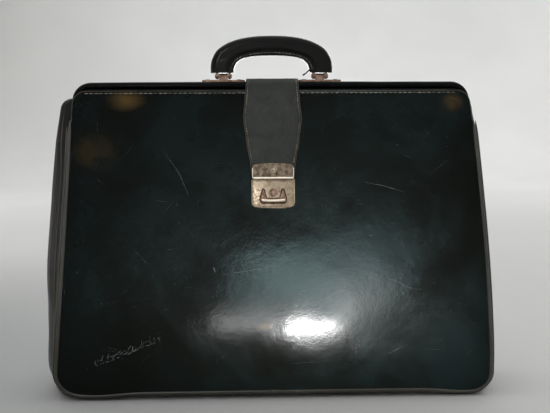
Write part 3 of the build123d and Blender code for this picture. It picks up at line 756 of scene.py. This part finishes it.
def gusset_rows():
    """The folded strip, from the front seam over its fold to the rear seam, all the way round."""
    rows = []
    for station in edge_stations(GUSSET_TOP, 2.0):
        kind, side, value = station
        x0, z0, share = edge_place(station, -GUSSET_TUCK)
        turn = {"side": 0.0, "corner": value, "bottom": QUARTER}[kind]
        out = Vector((side * math.cos(turn), 0, -math.sin(turn)))
        reach = gusset_reach(station, z0, share)
        depth = half_depth(max(SEAM_Z, z0)) - 3.4
        sharp = lerp(lerp(1.25, 1.9, smooth(200, 262, z0)), 5.5, smooth(0.3, 1.0, share))
        row = []
        for t in spread(-1, 1, 44):
            crease = 0.5 * bell(abs(t), 0.52, 0.05) * (1 - share)
            ripple = 0.56 * (1 - share) * (1 - t * t) * wobble(t * 30, z0, side * 70, 26)
            pull = reach * (1 - abs(t) ** sharp) - crease + ripple
            point = Vector((x0, depth * t, z0)) + out * pull
            point.z = max(point.z, FLOOR_GAP)
            row.append(point)
        rows.append(row)
    return rows


def follow_mouth(piece):
    """Joins a piece of the gusset to the shell behind and to the front panel."""
    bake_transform(piece, "bag_shell", "panel_front", start=(0, 0.03, 0.15), end=(0, -0.034, 0.15))


def build_gusset():
    mesh = sheet_mesh(gusset_rows(), GUSSET_LEATHER)
    follow_mouth(soft_piece("gusset_leather", mesh, gusset_black, "gusset_leather", None,
                            "gusset_left", "gusset_right", "gusset_bottom"))
    for face, half, body in HALVES:
        line = [Vector((p.x, p.y, max(1.5, p.z))) for p in edge_path(face, 4.3, 5.2, PIVOT_Z - 3)]
        mesh = tube_mesh(line, lambda t: WELT_R * tapered(t, 0.012), 10)
        soft_piece(f"{half}_gusset_welt", mesh, piping_black, "gusset_leather", body)


def build_edge_lines():
    """The pale line along the front panel's cut edge above the piping, partly the raw edge and partly
    painted highlight, and pale lines on each side fold: painted highlights on the gusset's creases.
    """
    corner_z, reach = TOP_Z - TOP_CORNER, TOP_CORNER - 0.5
    ways = []
    for side in (-1, 1):
        centre_x = half_width(corner_z, side) - TOP_CORNER
        way = [(side * (half_width(z, side) - 0.4), z) for z in spread(PIVOT_Z - 3, corner_z, 19)]
        way += [(side * (centre_x + reach * math.cos(turn)), corner_z + reach * math.sin(turn))
                for turn in spread(0, QUARTER, 12)[1:]]
        way += [(side * x, TOP_Z - 0.5) for x in spread(centre_x, 0, 60)[1:]]
        ways.append(way)
    path = [panel_point(x, z, 1, 0.05) for x, z in ways[0] + ways[1][-2::-1]]
    # Pale line along the cut edge: partly the raw edge, partly painted highlight.
    edge = tube_mesh(path, lambda t: 0.3 + 0.05 * math.sin(90 * t), 8)
    soft_piece("front_cut_edge_highlight", edge, rubbed_edge_and_highlight, "piping_leather", "panel_front")
    rows = gusset_rows()
    creases = []
    # Pale lines along two columns of each side fold: painted highlights on the creases.
    for part in (rows[8:100], rows[-100:-8]):
        for column, radius in ((9, 0.75), (15, 0.4)):
            line = [row[column] for row in part]
            creases.append(tube_mesh(line, lambda t: radius * tapered(t, 0.1), 8))
    follow_mouth(soft_piece("gusset_crease_highlights", joined(creases), rubbed_edge_and_highlight, "gusset_leather", None))


# ---- Frame bindings ----
def bar_line(y):
    """The frame's U, from the left arm over the slightly arched bar to the right arm."""
    bend, arch = 14.0, 0.6
    arm = [Vector((-ARM_X, y, z)) for z in spread(PIVOT_Z + 8.5, BAR_Z - bend, 5)[:-1]]
    for turn in spread(0, QUARTER, 9)[:-1]:
        arm.append(Vector((-ARM_X + bend * (1 - math.cos(turn)), y, BAR_Z - bend * (1 - math.sin(turn)))))
    bar = [Vector((x, y, BAR_Z + arch * (1 - (x / ARM_X) ** 2)))
           for x in spread(bend - ARM_X, ARM_X - bend, 90)]
    return arm + bar + [Vector((-p.x, y, p.z)) for p in arm[::-1]]


def build_bindings():
    for face, half, body in HALVES:
        def thickness(t):
            dent = 0.16 * wobble(t * 400, face * 33, 0, 22)
            return ROLL_R - 0.1 + dent - 0.9 * bell(0.5 - abs(t - 0.5), 0, 0.006)

        rider = "frame_front" if face > 0 else body
        soft_piece(f"{half}_binding_leather", tube_mesh(bar_line(-face * BAR_Y), thickness, 16), black,
                   "black_leather", rider, f"{half}_binding")


def top_stitches():
    """Thread along the groove under the binding, front and rear, with a gap behind the strap."""
    z = TOP_Z - STITCH_DROP
    for face, half, body in HALVES:
        line = [panel_point(t * (row_half(z, t) - 6), z, face, 0.12) for t in spread(-1, 1, 120)]
        parts = stitch_parts(line, 4.6, 3.7, 0.42, Vector((0, -face, 0)), lambda p: abs(p.x) < 25.5)
        soft_piece(f"{half}_top_stitches", joined(parts), thread_paint, "piping_leather", body)


# ---- Strap: v is roughly the distance along it from the panel's top edge, negative down the front ----
STRAP_INNER = 0.7                           # gap between the strap and the panel
STRAP_THICK = 2.5
STRAP_END, STRAP_BEND = -80.0, -2.0         # the front part that lies along the panel
STRAP_HALVES = ((-90.0, 19.0), (-71.0, 20.8), (-50.0, 24.4), (-27.0, 27.2), (-8.0, 25.4), (8.0, 24.1),
                (200.0, 24.0))


def strap_half(v):
    """Half width of the strap."""
    for (v1, h1), (v2, h2) in zip(STRAP_HALVES, STRAP_HALVES[1:]):
        if v <= v2:
            return lerp(h1, h2, smooth(v1, v2, v) * 0.6 + 0.4 * (v - v1) / (v2 - v1))


def strap_line():
    """(place, v) along the strap's middle: up the front, over the bindings and down the rear panel."""
    hinge = joint_at["strap_lift"]
    over = BAR_Z + ROLL_R + 1.75
    middle = STRAP_INNER + STRAP_THICK / 2
    front = [(on_face(0, v, middle), v) for v in spread(STRAP_END, STRAP_BEND, 30)]
    turn = [(Vector((0, y, z)), v) for y, z, v in (
        (hinge.y - 1.3, TOP_Z + 6.0, 3.0),
        (hinge.y - 0.35, over - 1.6, 9.0),
        (hinge.y + 1.9, over - 0.15, 12.0),
        (hinge.y + 5.0, over, 16.0),
        (0, over + 0.1, 24.0),
        (5, over + 0.1, 30.0),
        (9.0, over - 0.2, 34.0),
        (12.4, over - 2.4, 38.0),
    )]
    back = [(on_face(0, v, middle - 0.1, -1), 44.0 + i) for i, v in enumerate(spread(-2, -70, 20))]
    places = front + turn + back
    bends = range(len(front) - 2, len(front) + len(turn) + 1)
    smoothed = []
    for i, (point, v) in enumerate(places):
        smoothed.append((point, v))
        if i in bends:
            four = [places[j][0] for j in (i - 1, i, i + 1, i + 2)]
            for t in (0.33, 0.66):
                smoothed.append((curve_point(*four, t), lerp(v, places[i + 1][1], t)))
    return smoothed


def strap_frames():
    """(place, v, outward direction) along the strap."""
    line = strap_line()
    last = len(line) - 1
    for i, (place, v) in enumerate(line):
        ahead = (line[min(last, i + 1)][0] - line[max(0, i - 1)][0]).normalized()
        yield place, v, Vector((1, 0, 0)).cross(ahead)


def strap_mesh():
    """A strap of full thickness with rounded edges, its edge line pressed in beside the stitching."""
    right = [(1.012, 0.25), (1.015, -0.2)]
    section = [(t, 0.5) for t in spread(-1, 1, 28)] + right
    section += [(t, -0.5) for t in spread(1, -1, 8)] + [(-t, w) for t, w in right[::-1]]
    rings = []
    for place, v, outward in strap_frames():
        half = strap_half(v)
        sway = 0.35 * wobble(0, v * 2, 5, 23)
        ring = []
        for t, w in section:
            x = t * half
            high = w * STRAP_THICK
            if w > 0.4:
                gap = half - abs(x)
                high += 0.22 * wobble(x, place.y, place.z, 9)
                high -= 0.35 * bell(gap, 2.2, 0.8) + 0.5 * bell(gap, 0, 0.7)
            ring.append(place + Vector((x + sway, 0, 0)) + outward * high)
        rings.append(ring)
    return skin_mesh(rings)


def strap_edge(side, inset):
    """(place, outward) along the strap's outer face, inset from one edge."""
    found = []
    for place, v, outward in strap_frames():
        place = place + Vector((side * (strap_half(v) - inset), 0, 0)) + outward * (STRAP_THICK / 2 - 0.2)
        found.append((place, outward))
    return found


def strap_stitch_parts():
    """Stitches along both edges, from the hasp up and over."""
    parts = []
    lowest = on_face(0, HASP_TOP, 0).z + 0.5
    for side in (-1, 1):
        edge = strap_edge(side, 1.7)
        for (a, up), (b, _) in zip(edge, edge[1:]):
            span = (b - a).length
            if span <= 0.2 or a.z <= lowest:
                continue
            pieces = max(1, round(span / 3.2))
            for k in range(pieces):
                p, q = a + (b - a) * (k + 0.12) / pieces, a + (b - a) * (k + 0.88) / pieces
                middle = (p + q) / 2 + up * 0.3
                stitch = tube_mesh([p, middle, q], lambda t: 0.25 + 0.22 * math.sin(math.pi * t), 6, up)
                parts.append(stitch)
    return parts


def build_strap():
    hinge = joint_at["strap_lift"] * MM
    start = hinge + Vector((0, 0.005, 0))
    end = hinge + Vector((0, -0.0002, 0))
    # Pale lines along both edges of the strap: partly rubbed wear, partly painted highlight.
    edges = [tube_mesh([place for place, _ in strap_edge(side, 0.15)], 0.42, 8) for side in (-1, 1)]
    for name, mesh, paint, nodes in (
        ("strap_leather", strap_mesh(), strap_dull, ("strap_front", "strap_lining", "strap_tail")),
        ("strap_stitches", joined(strap_stitch_parts()), thread_paint, ()),
        ("strap_rubbed_edge_highlights", joined(edges), rubbed_edge_and_highlight, ()),
    ):
        piece = soft_piece(name, mesh, paint, "strap_leather", None, *nodes)
        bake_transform(piece, "bag_shell", "strap", start=start, end=end)


# ---- Lock and hasp, in x, v and w on the panel's face ----
HASP_TOP, HASP_BOTTOM, HASP_HALF = -69.7, -83.4, 19.5
HASP_BACK, HASP_FACE = 3.2, 4.3
EYELET_V = -75.8
LOCK_TOP, LOCK_BOTTOM, LOCK_HALF = -84.9, -111.9, 20.3
LOCK_FACE = 1.6
LOCK_BOW = 1.1
SLIDE_BOTTOM, SLIDE_FACE = -106.3, 3.0
PLUG_V = -97.0


def carved(piece, cutter):
    """Cuts a closed mesh out of a piece."""
    tool = new_object("cutter", *cutter)
    cut = piece.modifiers.new("cut", "BOOLEAN")
    cut.object = tool
    cut.solver = "EXACT"
    bpy.context.view_layer.update()
    whole = piece.evaluated_get(bpy.context.evaluated_depsgraph_get())
    mesh = bpy.data.meshes.new_from_object(whole)
    piece.modifiers.clear()
    piece.data = mesh
    bpy.data.objects.remove(tool)
    return piece


def hasp_outline():
    """Arched top, round shoulders, straight bottom."""
    reach = HASP_HALF - 4.5
    shoulder = [(HASP_HALF, HASP_TOP - 4.4), (HASP_HALF - 1.4, HASP_TOP - 1.6)]
    corners = [(-HASP_HALF, HASP_BOTTOM), (HASP_HALF, HASP_BOTTOM)] + shoulder
    corners += [(x, HASP_TOP - 0.9 * (x / reach) ** 2) for x in spread(reach, -reach, 8)]
    corners += [(-x, v) for x, v in shoulder[::-1]]
    return rounded(corners, 1.4)


def build_hasp():
    edge = HASP_HALF - 0.4
    low, high = HASP_BOTTOM - 0.4, HASP_BOTTOM + 1
    lip = [(-edge, low), (edge, low), (edge, high), (-edge, high)]
    parts = [plate_mesh(hasp_outline(), HASP_BACK, HASP_FACE, 0.35, 3)]
    parts.append(plate_mesh(lip, 1.9, HASP_FACE - 0.5, 0.2))
    metal_piece("hasp_plate_metal", joined(parts), hasp_brass, "strap", "hasp_plate")
    # The rolled fold and the side lips, in the lighter brass: painted highlight.
    edge = HASP_HALF - 0.35
    fold = [on_face(x, HASP_BOTTOM - 0.3, HASP_FACE - 0.7) for x in spread(-edge, edge, 12)]
    parts = [tube_mesh(fold, 1.25, 12, UP)]
    for x in (0.45 - HASP_HALF, HASP_HALF - 0.45):
        line = [on_face(x, v, HASP_FACE - 0.15) for v in spread(HASP_BOTTOM, HASP_TOP - 4.6, 6)]
        parts.append(tube_mesh(line, 0.42, 8, UP))
    soft_piece("hasp_rolled_edge", joined(parts), brass_painted_highlight, "aged_brass", "strap")
    ring = [(3.8, 3.6), (3.8, 4.6), (3.6, 5.0), (3.2, 5.25), (2.7, 5.2), (2.35, 4.9), (2.2, 4.5),
            (1.4, 4.35)]
    metal_piece("hasp_eyelet_metal", lathe_mesh(ring, EYELET_V), brass, "strap", "hasp_eyelet")
    dome = [(1.25, 4.2), (1.2, 4.6), (0.9, 4.85), (0.4, 4.95)]
    metal_piece("hasp_eyelet_pin", lathe_mesh(dome, EYELET_V, 18), steel, "strap")


def lock_outline(inset=0.0):
    """Straight top, bowed bottom with round corners."""
    half, low, corner = LOCK_HALF - inset, LOCK_BOTTOM + inset, 4.6 - inset * 0.7
    flat = half - corner
    curve = [(half - corner * (1 - math.cos(turn)), low + LOCK_BOW + corner * (1 - math.sin(turn)))
             for turn in spread(0, QUARTER, 8)]
    bottom = [(x, low + LOCK_BOW * (x / flat) ** 2) for x in spread(-flat, flat, 12)[1:-1]]
    return [(half, LOCK_TOP), (-half, LOCK_TOP)] + [(-x, v) for x, v in curve] + bottom + curve[::-1]


def build_lock_face():
    """The face with its raised rim and the low shelf under the hasp."""
    parts = [plate_mesh(lock_outline(), -0.2, LOCK_FACE, 0.4, 3)]
    rim = lock_outline(0.95)
    rim = [on_face(x, v, LOCK_FACE + 0.15) for x, v in rim[1:] + rim[:1]]
    parts.append(tube_mesh(rim, 0.9, 10, UP))
    shelf = [on_face(x, LOCK_TOP - 1.3, LOCK_FACE) for x in (2.2 - LOCK_HALF, LOCK_HALF - 2.2)]
    parts.append(tube_mesh(shelf, 0.3, 8, UP))
    metal_piece("lock_face_metal", joined(parts), brass, "panel_front", "lock_face")


def build_lock_slide():
    """The U-shaped catch, its grip bar in the lighter brass as painted highlight, and a dark plate round it
    as painted shade in the slot.
    """
    half = [(3, 0), (10.6, 0), (12.2, 2.6), (11.2, 7), (9.4, 12.3), (8.4, 12.3), (7, 6), (5.4, 3.6)]
    outline = rounded([(x, SLIDE_BOTTOM + v) for x, v in mirrored(half)], 0.8)
    slide = plate_mesh(outline, LOCK_FACE + 0.12, SLIDE_FACE, 0.35, 3)
    metal_piece("lock_slide_metal", slide, plug_brass, "catch", "lock_slide")
    # The grip bar in the lighter brass: painted highlight.
    bar = [on_face(10.9 * t, SLIDE_BOTTOM + 1.6 + 0.7 * abs(t) ** 2.5, SLIDE_FACE - 0.35)
           for t in spread(-1, 1, 12)]
    soft_piece("lock_slide_grip", tube_mesh(bar, 1.4, 10, UP), brass_painted_highlight, "aged_brass", "catch")
    around = [(4, -1.1), (11.2, -1.1), (13.1, 2.5), (12.0, 7.4), (10.2, 13.2), (7.7, 13.2), (6.3, 6.4),
              (5.0, 4.4)]
    outline = rounded([(x, SLIDE_BOTTOM + v) for x, v in mirrored(around)], 1.0)
    # Painted shade: a dark plate a little larger than the catch, showing round its edge.
    slot_shade = plate_mesh(outline, LOCK_FACE - 0.3, LOCK_FACE + 0.06, 0.03, 1)
    metal_piece("lock_slide_slot_shade", slot_shade, slot_painted_shade, "panel_front")


def build_key_plug():
    """The plug with its keyhole, a dark disc in the keyhole as painted shade, and the collar round it."""
    plug = [(3.3, 1.2), (3.3, 1.9), (3.15, 2.1), (2.6, 2.1), (2.45, 1.95), (1.2, 1.9)]
    core = auto_smooth(new_object("key_plug_metal", *lathe_mesh(plug, PLUG_V)), 0.5)
    slot = [(0.42, -2.0), (0.42, -0.2)]
    bow = [(0.85 * math.cos(turn), 0.45 + 0.85 * math.sin(turn))
           for turn in spread(-0.9, math.pi + 0.9, 12)]
    keyhole = slot + bow + [(-x, v) for x, v in slot[::-1]]
    cut = plate_mesh([(x, PLUG_V + v) for x, v in keyhole], 1.35, 3.0, 0.02, 1)
    finish_piece(auto_smooth(carved(core, cut), 0.5), plug_brass, "aged_brass", "key", "key_plug")
    # Painted shade: a dark disc at the bottom of the keyhole.
    floor = plate_mesh(circle(2.4, PLUG_V, 20), 1.36, 1.41, 0.01, 1)
    soft_piece("keyhole_painted_shade", floor, slot_painted_shade, "dark_steel", "key")
    ring = [on_face(x, v, LOCK_FACE + 0.05) for x, v in circle(3.75, PLUG_V, 32)]
    collar = tube_mesh(ring + ring[:1], 0.34, 8, UP)
    soft_piece("key_collar", collar, brass, "aged_brass", "panel_front")


# ---- Handle ----
HANDLE_Y = (HANDLE_LOW.y + HANDLE_HIGH.y) / 2
HANDLE_THICK = (HANDLE_HIGH.y - HANDLE_LOW.y) / 2
STRIP_THICK = 3.2                           # half thickness of the stitched inner strip
LEG_Z = HANDLE_LOW.z - 1.2
OUTER_ARCH = ((58.0, LEG_Z), (58.0, 312), (56.2, 319.5), (50.2, 328.2), (37, 335.4), (20, 339.2),
              (0, HANDLE_HIGH.z))
INNER_ARCH = ((36.2, LEG_Z), (35.9, 309), (33.6, 314.2), (28.6, 318.2), (20, 320.4), (10, 321.3), (0, 321.5))


def arch_pairs(count=120):
    """Pairs of points across the handle, on its outer edge and its inner edge, from foot to foot."""
    edges = []
    for arch in (OUTER_ARCH, INNER_ARCH):
        edge = [Vector(p) for p in arch]
        edges.append(path_through(edge + [Vector((-p.x, p.y)) for p in edge[-2::-1]], count))
    return list(zip(*edges))


def handle_half(share, depth):
    """Half thickness of the handle from its inner edge, share 0, to its outer edge, share 1."""
    from_in, from_out = share * depth, (1 - share) * depth
    if from_in < 0.001:
        return 1.2
    body = lerp(STRIP_THICK, HANDLE_THICK, smooth(4.2, 7.6, from_in)) - 0.25 * bell(from_in, 4.9, 0.6)
    body *= math.sqrt(max(0.0, 1 - (1 - min(1.0, from_out / 5.4)) ** 2.2))
    body -= 0.45 * bell(from_out, 3.5, 0.55)
    return max(0.4, body * math.sqrt(min(1.0, from_in / 0.8)))


def build_handle():
    pairs = arch_pairs()
    rings = []
    for outer, inner in pairs:
        depth = (outer - inner).length
        ring = []
        for share in crowded(26, 1.0):
            place = inner.lerp(outer, share)
            half = handle_half(share, depth) if share < 1 else 0.5
            ring.append((place, min(half + 0.14 * wobble(place.x, place.y, 0, 7), HANDLE_THICK)))
        front = [Vector((p.x, HANDLE_Y - half, p.y)) for p, half in ring]
        back = [Vector((p.x, HANDLE_Y + half, p.y)) for p, half in ring]
        rings.append(front + back[::-1])
    piece = auto_smooth(new_object("handle_leather", *skin_mesh(rings)), 1.0)
    finish_piece(piece, handle_black, "handle_leather", "handle", "handle_cover", "handle_core")
    parts = []
    for face in (-1, 1):
        line = []
        for outer, inner in pairs[6:-6]:
            place = inner + (outer - inner).normalized() * 2.6
            line.append(Vector((place.x, HANDLE_Y + face * (STRIP_THICK - 0.05), place.y)))
        parts += stitch_parts(line, 3.4, 2.5, 0.34, Vector((0, face, 0)))
    soft_piece("handle_stitches", joined(parts), thread_paint, "handle_leather", "handle")


def build_torn_flap():
    """A tongue of leather torn loose at the inner end of the right leg."""
    spine = [Vector((x, 0, z)) for x, z in ((37.5, 309.5), (35.2, 307.2), (32.2, 304.6), (29.4, 303.0))]
    rows = []
    for i, place in enumerate(path_through(spine, 12)):
        half = lerp(3.6, 2.2, i / 12) + 0.3 * wobble(i, 3, 0, 2.0)
        rows.append([place + Vector((0, HANDLE_Y + half * t, 0.5 * t * t)) for t in spread(-1, 1, 6)])
    soft_piece("handle_torn_flap", sheet_mesh(rows, 1.1), handle_black, "handle_leather", "handle")


# ---- Worn marks on the front panel ----
# Larger scratches: (x, z) points along each, then its radius.
SCRATCHES = (
    ([(-49, 119), (-20, 122.4), (3, 126.5)], 0.3),
    ([(-55.6, 125.5), (-54, 121)], 0.4),
    ([(99, 115.5), (113, 111), (125, 105), (137, 103)], 0.24),
    ([(78.3, 62), (78, 46)], 0.34),
    ([(105, 44), (123, 53)], 0.22),
    ([(-102, 232), (-88, 212), (-78, 190)], 0.14),
    ([(85, 202), (104, 198), (123, 192.5)], 0.16),
    ([(-163, 259), (-162.5, 250)], 0.1),
    ([(40, 96), (58, 104)], 0.16),
)
# Larger specks: x, z, radius.
SPECKS = ((90, 152.5, 0.55), (117, 113.5, 0.6), (-12, 78, 0.5), (60, 178, 0.35), (-70, 150, 0.3))


def scratch(points, radius):
    """A raised lip of torn leather along a line of (x, z) points."""
    line = []
    for p in path_through([Vector((x, 0, z)) for x, z in points], 14 * (len(points) - 1)):
        sway = 0.35 * wobble(p.x, 9, p.z, 6)
        line.append(panel_point(p.x + sway * 0.4, p.z + sway, 1, -0.3 * radius))
    return tube_mesh(line, lambda t: radius * (0.35 + 0.65 * math.sin(math.pi * t)), 6, Vector((0, -1, 0)))


def speck(x, z, radius, rise):
    return scratch([(x - radius, z), (x + radius, z + rise)], radius * 0.8)


def fine_scratches():
    """Long hair scratches scattered over the panel."""
    marks = []
    for _ in range(34):
        x, z = random.uniform(-185, 185), random.uniform(30, 260)
        turn, length = random.uniform(-0.9, 0.9), random.uniform(5, 26)
        if abs(x) < 34 and z > 168:
            continue
        end = (x + length * math.cos(turn), z + length * math.sin(turn))
        if abs(end[0]) < 186:
            marks.append(scratch([(x, z), end], random.uniform(0.03, 0.065)))
    return marks


def scribble():
    """A band of short random scratches at the lower left."""
    marks = []
    x = -165.0
    while x < -104:
        z = 37 + (x + 165) * 0.4 + random.uniform(-2.6, 2.2)
        turn, length = random.choice((0.35, 1.3)) + random.uniform(-0.35, 0.35), random.uniform(1.6, 5.5)
        across, up = length * math.cos(turn), length * math.sin(turn)
        middle = (x + across * 0.5, z + up * 0.5 + random.uniform(-0.5, 0.5))
        radius = random.uniform(0.15, 0.27) * (1 if x < -128 else 0.75)
        marks.append(scratch([(x, z), middle, (x + across, z + up)], radius))
        x += random.uniform(0.7, 1.5)
    return marks


def small_specks():
    marks = []
    for _ in range(46):
        x, z, radius = random.uniform(-180, 180), random.uniform(25, 272), random.uniform(0.16, 0.42)
        if abs(x) > 34 or z < 160:
            marks.append(speck(x, z, radius, 0.2))
    return marks


def build_marks():
    """Scratches and specks on the front panel, and the knot in its bottom piping."""
    marks = [scratch(points, radius) for points, radius in SCRATCHES]
    marks += fine_scratches()
    marks += scribble()
    marks += [speck(x, z, radius, 0.3) for x, z, radius in SPECKS]
    marks += small_specks()
    soft_piece("panel_scratches", joined(marks), scratch_pale, "black_leather", "panel_front")
    low = SEAM_Z - seam_droop(0) - 0.9
    knot = [Vector((x, 1.9 - half_depth(SEAM_Z), low + 0.4 * math.sin(i)))
            for i, x in enumerate(spread(-4.4, 4.4, 10))]
    lump = tube_mesh(knot, lambda t: 0.5 + PIPING_R * math.sin(math.pi * t) ** 0.6, 12)
    soft_piece("piping_knot", lump, piping_black, "piping_leather", "panel_front")


# ---- Metal parts that keep their CAD form, with their edges rounded ----
def eased_copy(name, node, body, paint, slot, width):
    """The CAD node's own form with its sharp edges rounded."""
    mesh = frame["nodes"][node].data.copy()
    mesh.name = name
    mesh.materials.clear()
    worker = bmesh.new()
    worker.from_mesh(mesh)
    bmesh.ops.remove_doubles(worker, verts=worker.verts, dist=1e-6)
    bmesh.ops.dissolve_limit(worker, angle_limit=0.02, verts=worker.verts, edges=worker.edges)
    sharp = [e for e in worker.edges if len(e.link_faces) == 2 and e.calc_face_angle(0) > 0.6]
    bmesh.ops.bevel(worker, geom=sharp, offset=width * MM, segments=2, profile=0.6, affect="EDGES",
                    clamp_overlap=True)
    worker.to_mesh(mesh)
    worker.free()
    for attribute in [a.name for a in mesh.attributes if a.name.startswith("custom_normal")]:
        mesh.attributes.remove(mesh.attributes[attribute])
    piece = bpy.data.objects.new(name, mesh)
    scene.collection.objects.link(piece)
    finish_piece(auto_smooth(piece, 0.55), paint, slot, body, node)


def build_fittings():
    for side in ("left", "right"):
        for name, node, body, width in (
            ("handle_plate", "handle_base", "bag_shell", 0.45),
            ("handle_fork", "handle_clevis", "handle", 0.4),
            ("handle_pivot", "handle_pin", "bag_shell", 0.25),
        ):
            eased_copy(f"{name}_{side}", f"{node}_{side}", body, copper, "coppered_steel", width)
        eased_copy(f"frame_rivet_{side}", f"pivot_rivet_{side}", "bag_shell", steel, "frame_steel", 0.4)
    eased_copy("handle_plate_rivets", "handle_base_rivets", "bag_shell", copper, "coppered_steel", 0.4)
    eased_copy("strap_rear_rivets", "strap_anchor_rivets", "bag_shell", copper, "coppered_steel", 0.4)


CAD_PAINTS = (
    (("front_lining", "rear_lining"), lining_cloth, "lining_cloth"),
    (("bottom_board",), board_paper, "board"),
    (("front_frame", "rear_frame"), steel, "frame_steel"),
    (("lock_case", "lock_bolt", "lock_studs", "key_cam", "lock_spring"), dark_metal, "dark_steel"),
    (("strap_backing_plate", "hasp_tongue"), dark_metal, "dark_steel"),
)


def paint_cad():
    """Gives what still shows of the CAD its materials."""
    for nodes, paint, slot in CAD_PAINTS:
        for node in nodes:
            mesh = frame["nodes"][node].data
            mesh.materials.clear()
            mesh.materials.append(paint)


# ---- Stage and light, in metres ----
FLOOR_R, COVE_R, WALL_TOP = 3.0, 1.4, 4.6
WHITE = (1, 1, 1)
# Light on the front panel alone: name, place, aim, radiance, width, height, colour.
PANEL_LIGHTS = (
    ("spot", (0.050, -0.25, 0.045), (0.03, -0.05, 0.062), 1400, 0.050, 0.016, WHITE),
    ("streak", (0.115, -0.345, 0.095), (0.075, -0.04, 0.1), 325, 0.016, 0.06, WHITE),
    ("glow", (-0.030, -0.25, 0.060), (-0.01, -0.05, 0.07), 55, 0.085, 0.026, WHITE),
    ("haze", (0.11, -0.95, 0.20), (0.02, -0.04, 0.1), 35.0, 0.30, 0.27, (0.66, 0.97, 1.0)),
)
# Light on everything else that belongs to the bag.
OTHER_LIGHTS = (
    ("glint", (-0.25, -1.1, 0.55), (0.0, 0.0, 0.25), 13.0, 0.16, 0.16, WHITE),
    ("rear_haze", (0.15, 0.95, 0.40), (0.0, 0.04, 0.14), 10.0, 0.5, 0.3, WHITE),
)


def build_stage():
    """A pale bowl: a flat floor that curves up into a wall all round."""
    profile = [(0.8, 0.0), (2.0, 0.0), (FLOOR_R, 0.0)]
    profile += [(FLOOR_R + COVE_R * math.sin(turn), COVE_R * (1 - math.cos(turn)))
                for turn in spread(0, QUARTER, 12)[1:]]
    profile.append((FLOOR_R + COVE_R, WALL_TOP))
    count = 96
    points = [Vector((radius * math.cos(turn), radius * math.sin(turn), height)) / MM
              for radius, height in profile for turn in turns(count)]
    faces = grid_faces(len(profile), count, closed=True)
    faces.append(tuple(range(count)))
    bowl = new_object("studio", points, faces)
    paint = Paint("studio_paper", (0.62, 0.62, 0.62), 0.95)
    cloud = paint.between(paint.noise(paint.plain, 1.2, 3.0), 0.3, 0.7)
    paper = paint.tint(cloud, (0.74, 0.745, 0.74), (0.8, 0.8, 0.795))
    # Painted shade on the paper: darker on the wall at the upper left, over the floor round the bag, and
    # most on the floor by the bag's left side.
    for centre, size, painted_shade in (
        ((-2500, 3500, 1000), (2700, 2700, 2700), (0.36, 0.355, 0.345)),
        ((0, 0, 0), (3400, 3400, 900), (0.5, 0.5, 0.495)),
        ((-600, 0, 0), (900, 1000, 500), (0.26, 0.27, 0.27)),
    ):
        paper = paint.tint(paint.spot(centre, size), paper, painted_shade)
    paint.colour(paper)
    paint.feed(paint.inputs["Specular IOR Level"], 0.1)
    bowl.data.materials.append(paint.material)
    bowl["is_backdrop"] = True


def add_light(pieces, name, place, aim, radiance, wide, high, colour):
    """A soft rectangular light on some pieces only, so that it leaves no pool on the floor."""
    lamp = bpy.data.lights.new(name, "AREA")
    lamp.shape = "RECTANGLE"
    lamp.size = wide
    lamp.size_y = high
    lamp.energy = radiance * math.pi * wide * high
    lamp.color = colour
    thing = bpy.data.objects.new(name, lamp)
    thing.location = place
    thing.rotation_euler = (Vector(aim) - Vector(place)).to_track_quat("-Z", "Y").to_euler()
    thing.visible_camera = False
    scene.collection.objects.link(thing)
    thing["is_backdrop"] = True
    lit = bpy.data.collections.new(name + "_receivers")
    for piece in pieces:
        lit.objects.link(piece)
    thing.light_linking.receiver_collection = lit


def build_light():
    world = bpy.data.worlds.new("world")
    world.use_nodes = True
    background = world.node_tree.nodes["Background"]
    background.inputs["Color"].default_value = (1.0, 1.0, 0.995, 1)
    background.inputs["Strength"].default_value = 1.45
    scene.world = world
    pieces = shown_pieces()
    panel = [piece for piece in pieces if piece.name == "front_panel_leather"]
    rest = [piece for piece in pieces if piece not in panel]
    for lit, lights in ((panel, PANEL_LIGHTS), (rest, OTHER_LIGHTS)):
        for light in lights:
            add_light(lit, *light)
    scene.view_settings.view_transform = "Standard"
    scene.view_settings.look = "None"
    scene.view_settings.exposure = 0.0
    scene.view_settings.gamma = 1.0


def build_camera():
    """The photo's view: from the front, a little above, looking slightly down and to the right."""
    data = bpy.data.cameras.new("camera")
    camera = bpy.data.objects.new("camera", data)
    scene.collection.objects.link(camera)
    data.lens = 51.0
    camera.location = (-0.020, -0.750, 0.249)
    turn, tilt, roll = 0.0300, -0.0955, -0.005
    ahead = Vector((math.sin(turn) * math.cos(tilt), math.cos(turn) * math.cos(tilt), math.sin(tilt)))
    level = ahead.to_track_quat("-Z", "Y")
    camera.rotation_euler = (level @ Quaternion((0, 0, 1), roll)).to_euler()
    scene.camera = camera


build_panels()
build_piping()
build_gusset()
build_edge_lines()
build_bindings()
top_stitches()
build_strap()
build_hasp()
build_lock_face()
build_lock_slide()
build_key_plug()
build_handle()
build_torn_flap()
build_marks()
build_fittings()
paint_cad()
build_stage()
build_light()
build_camera()
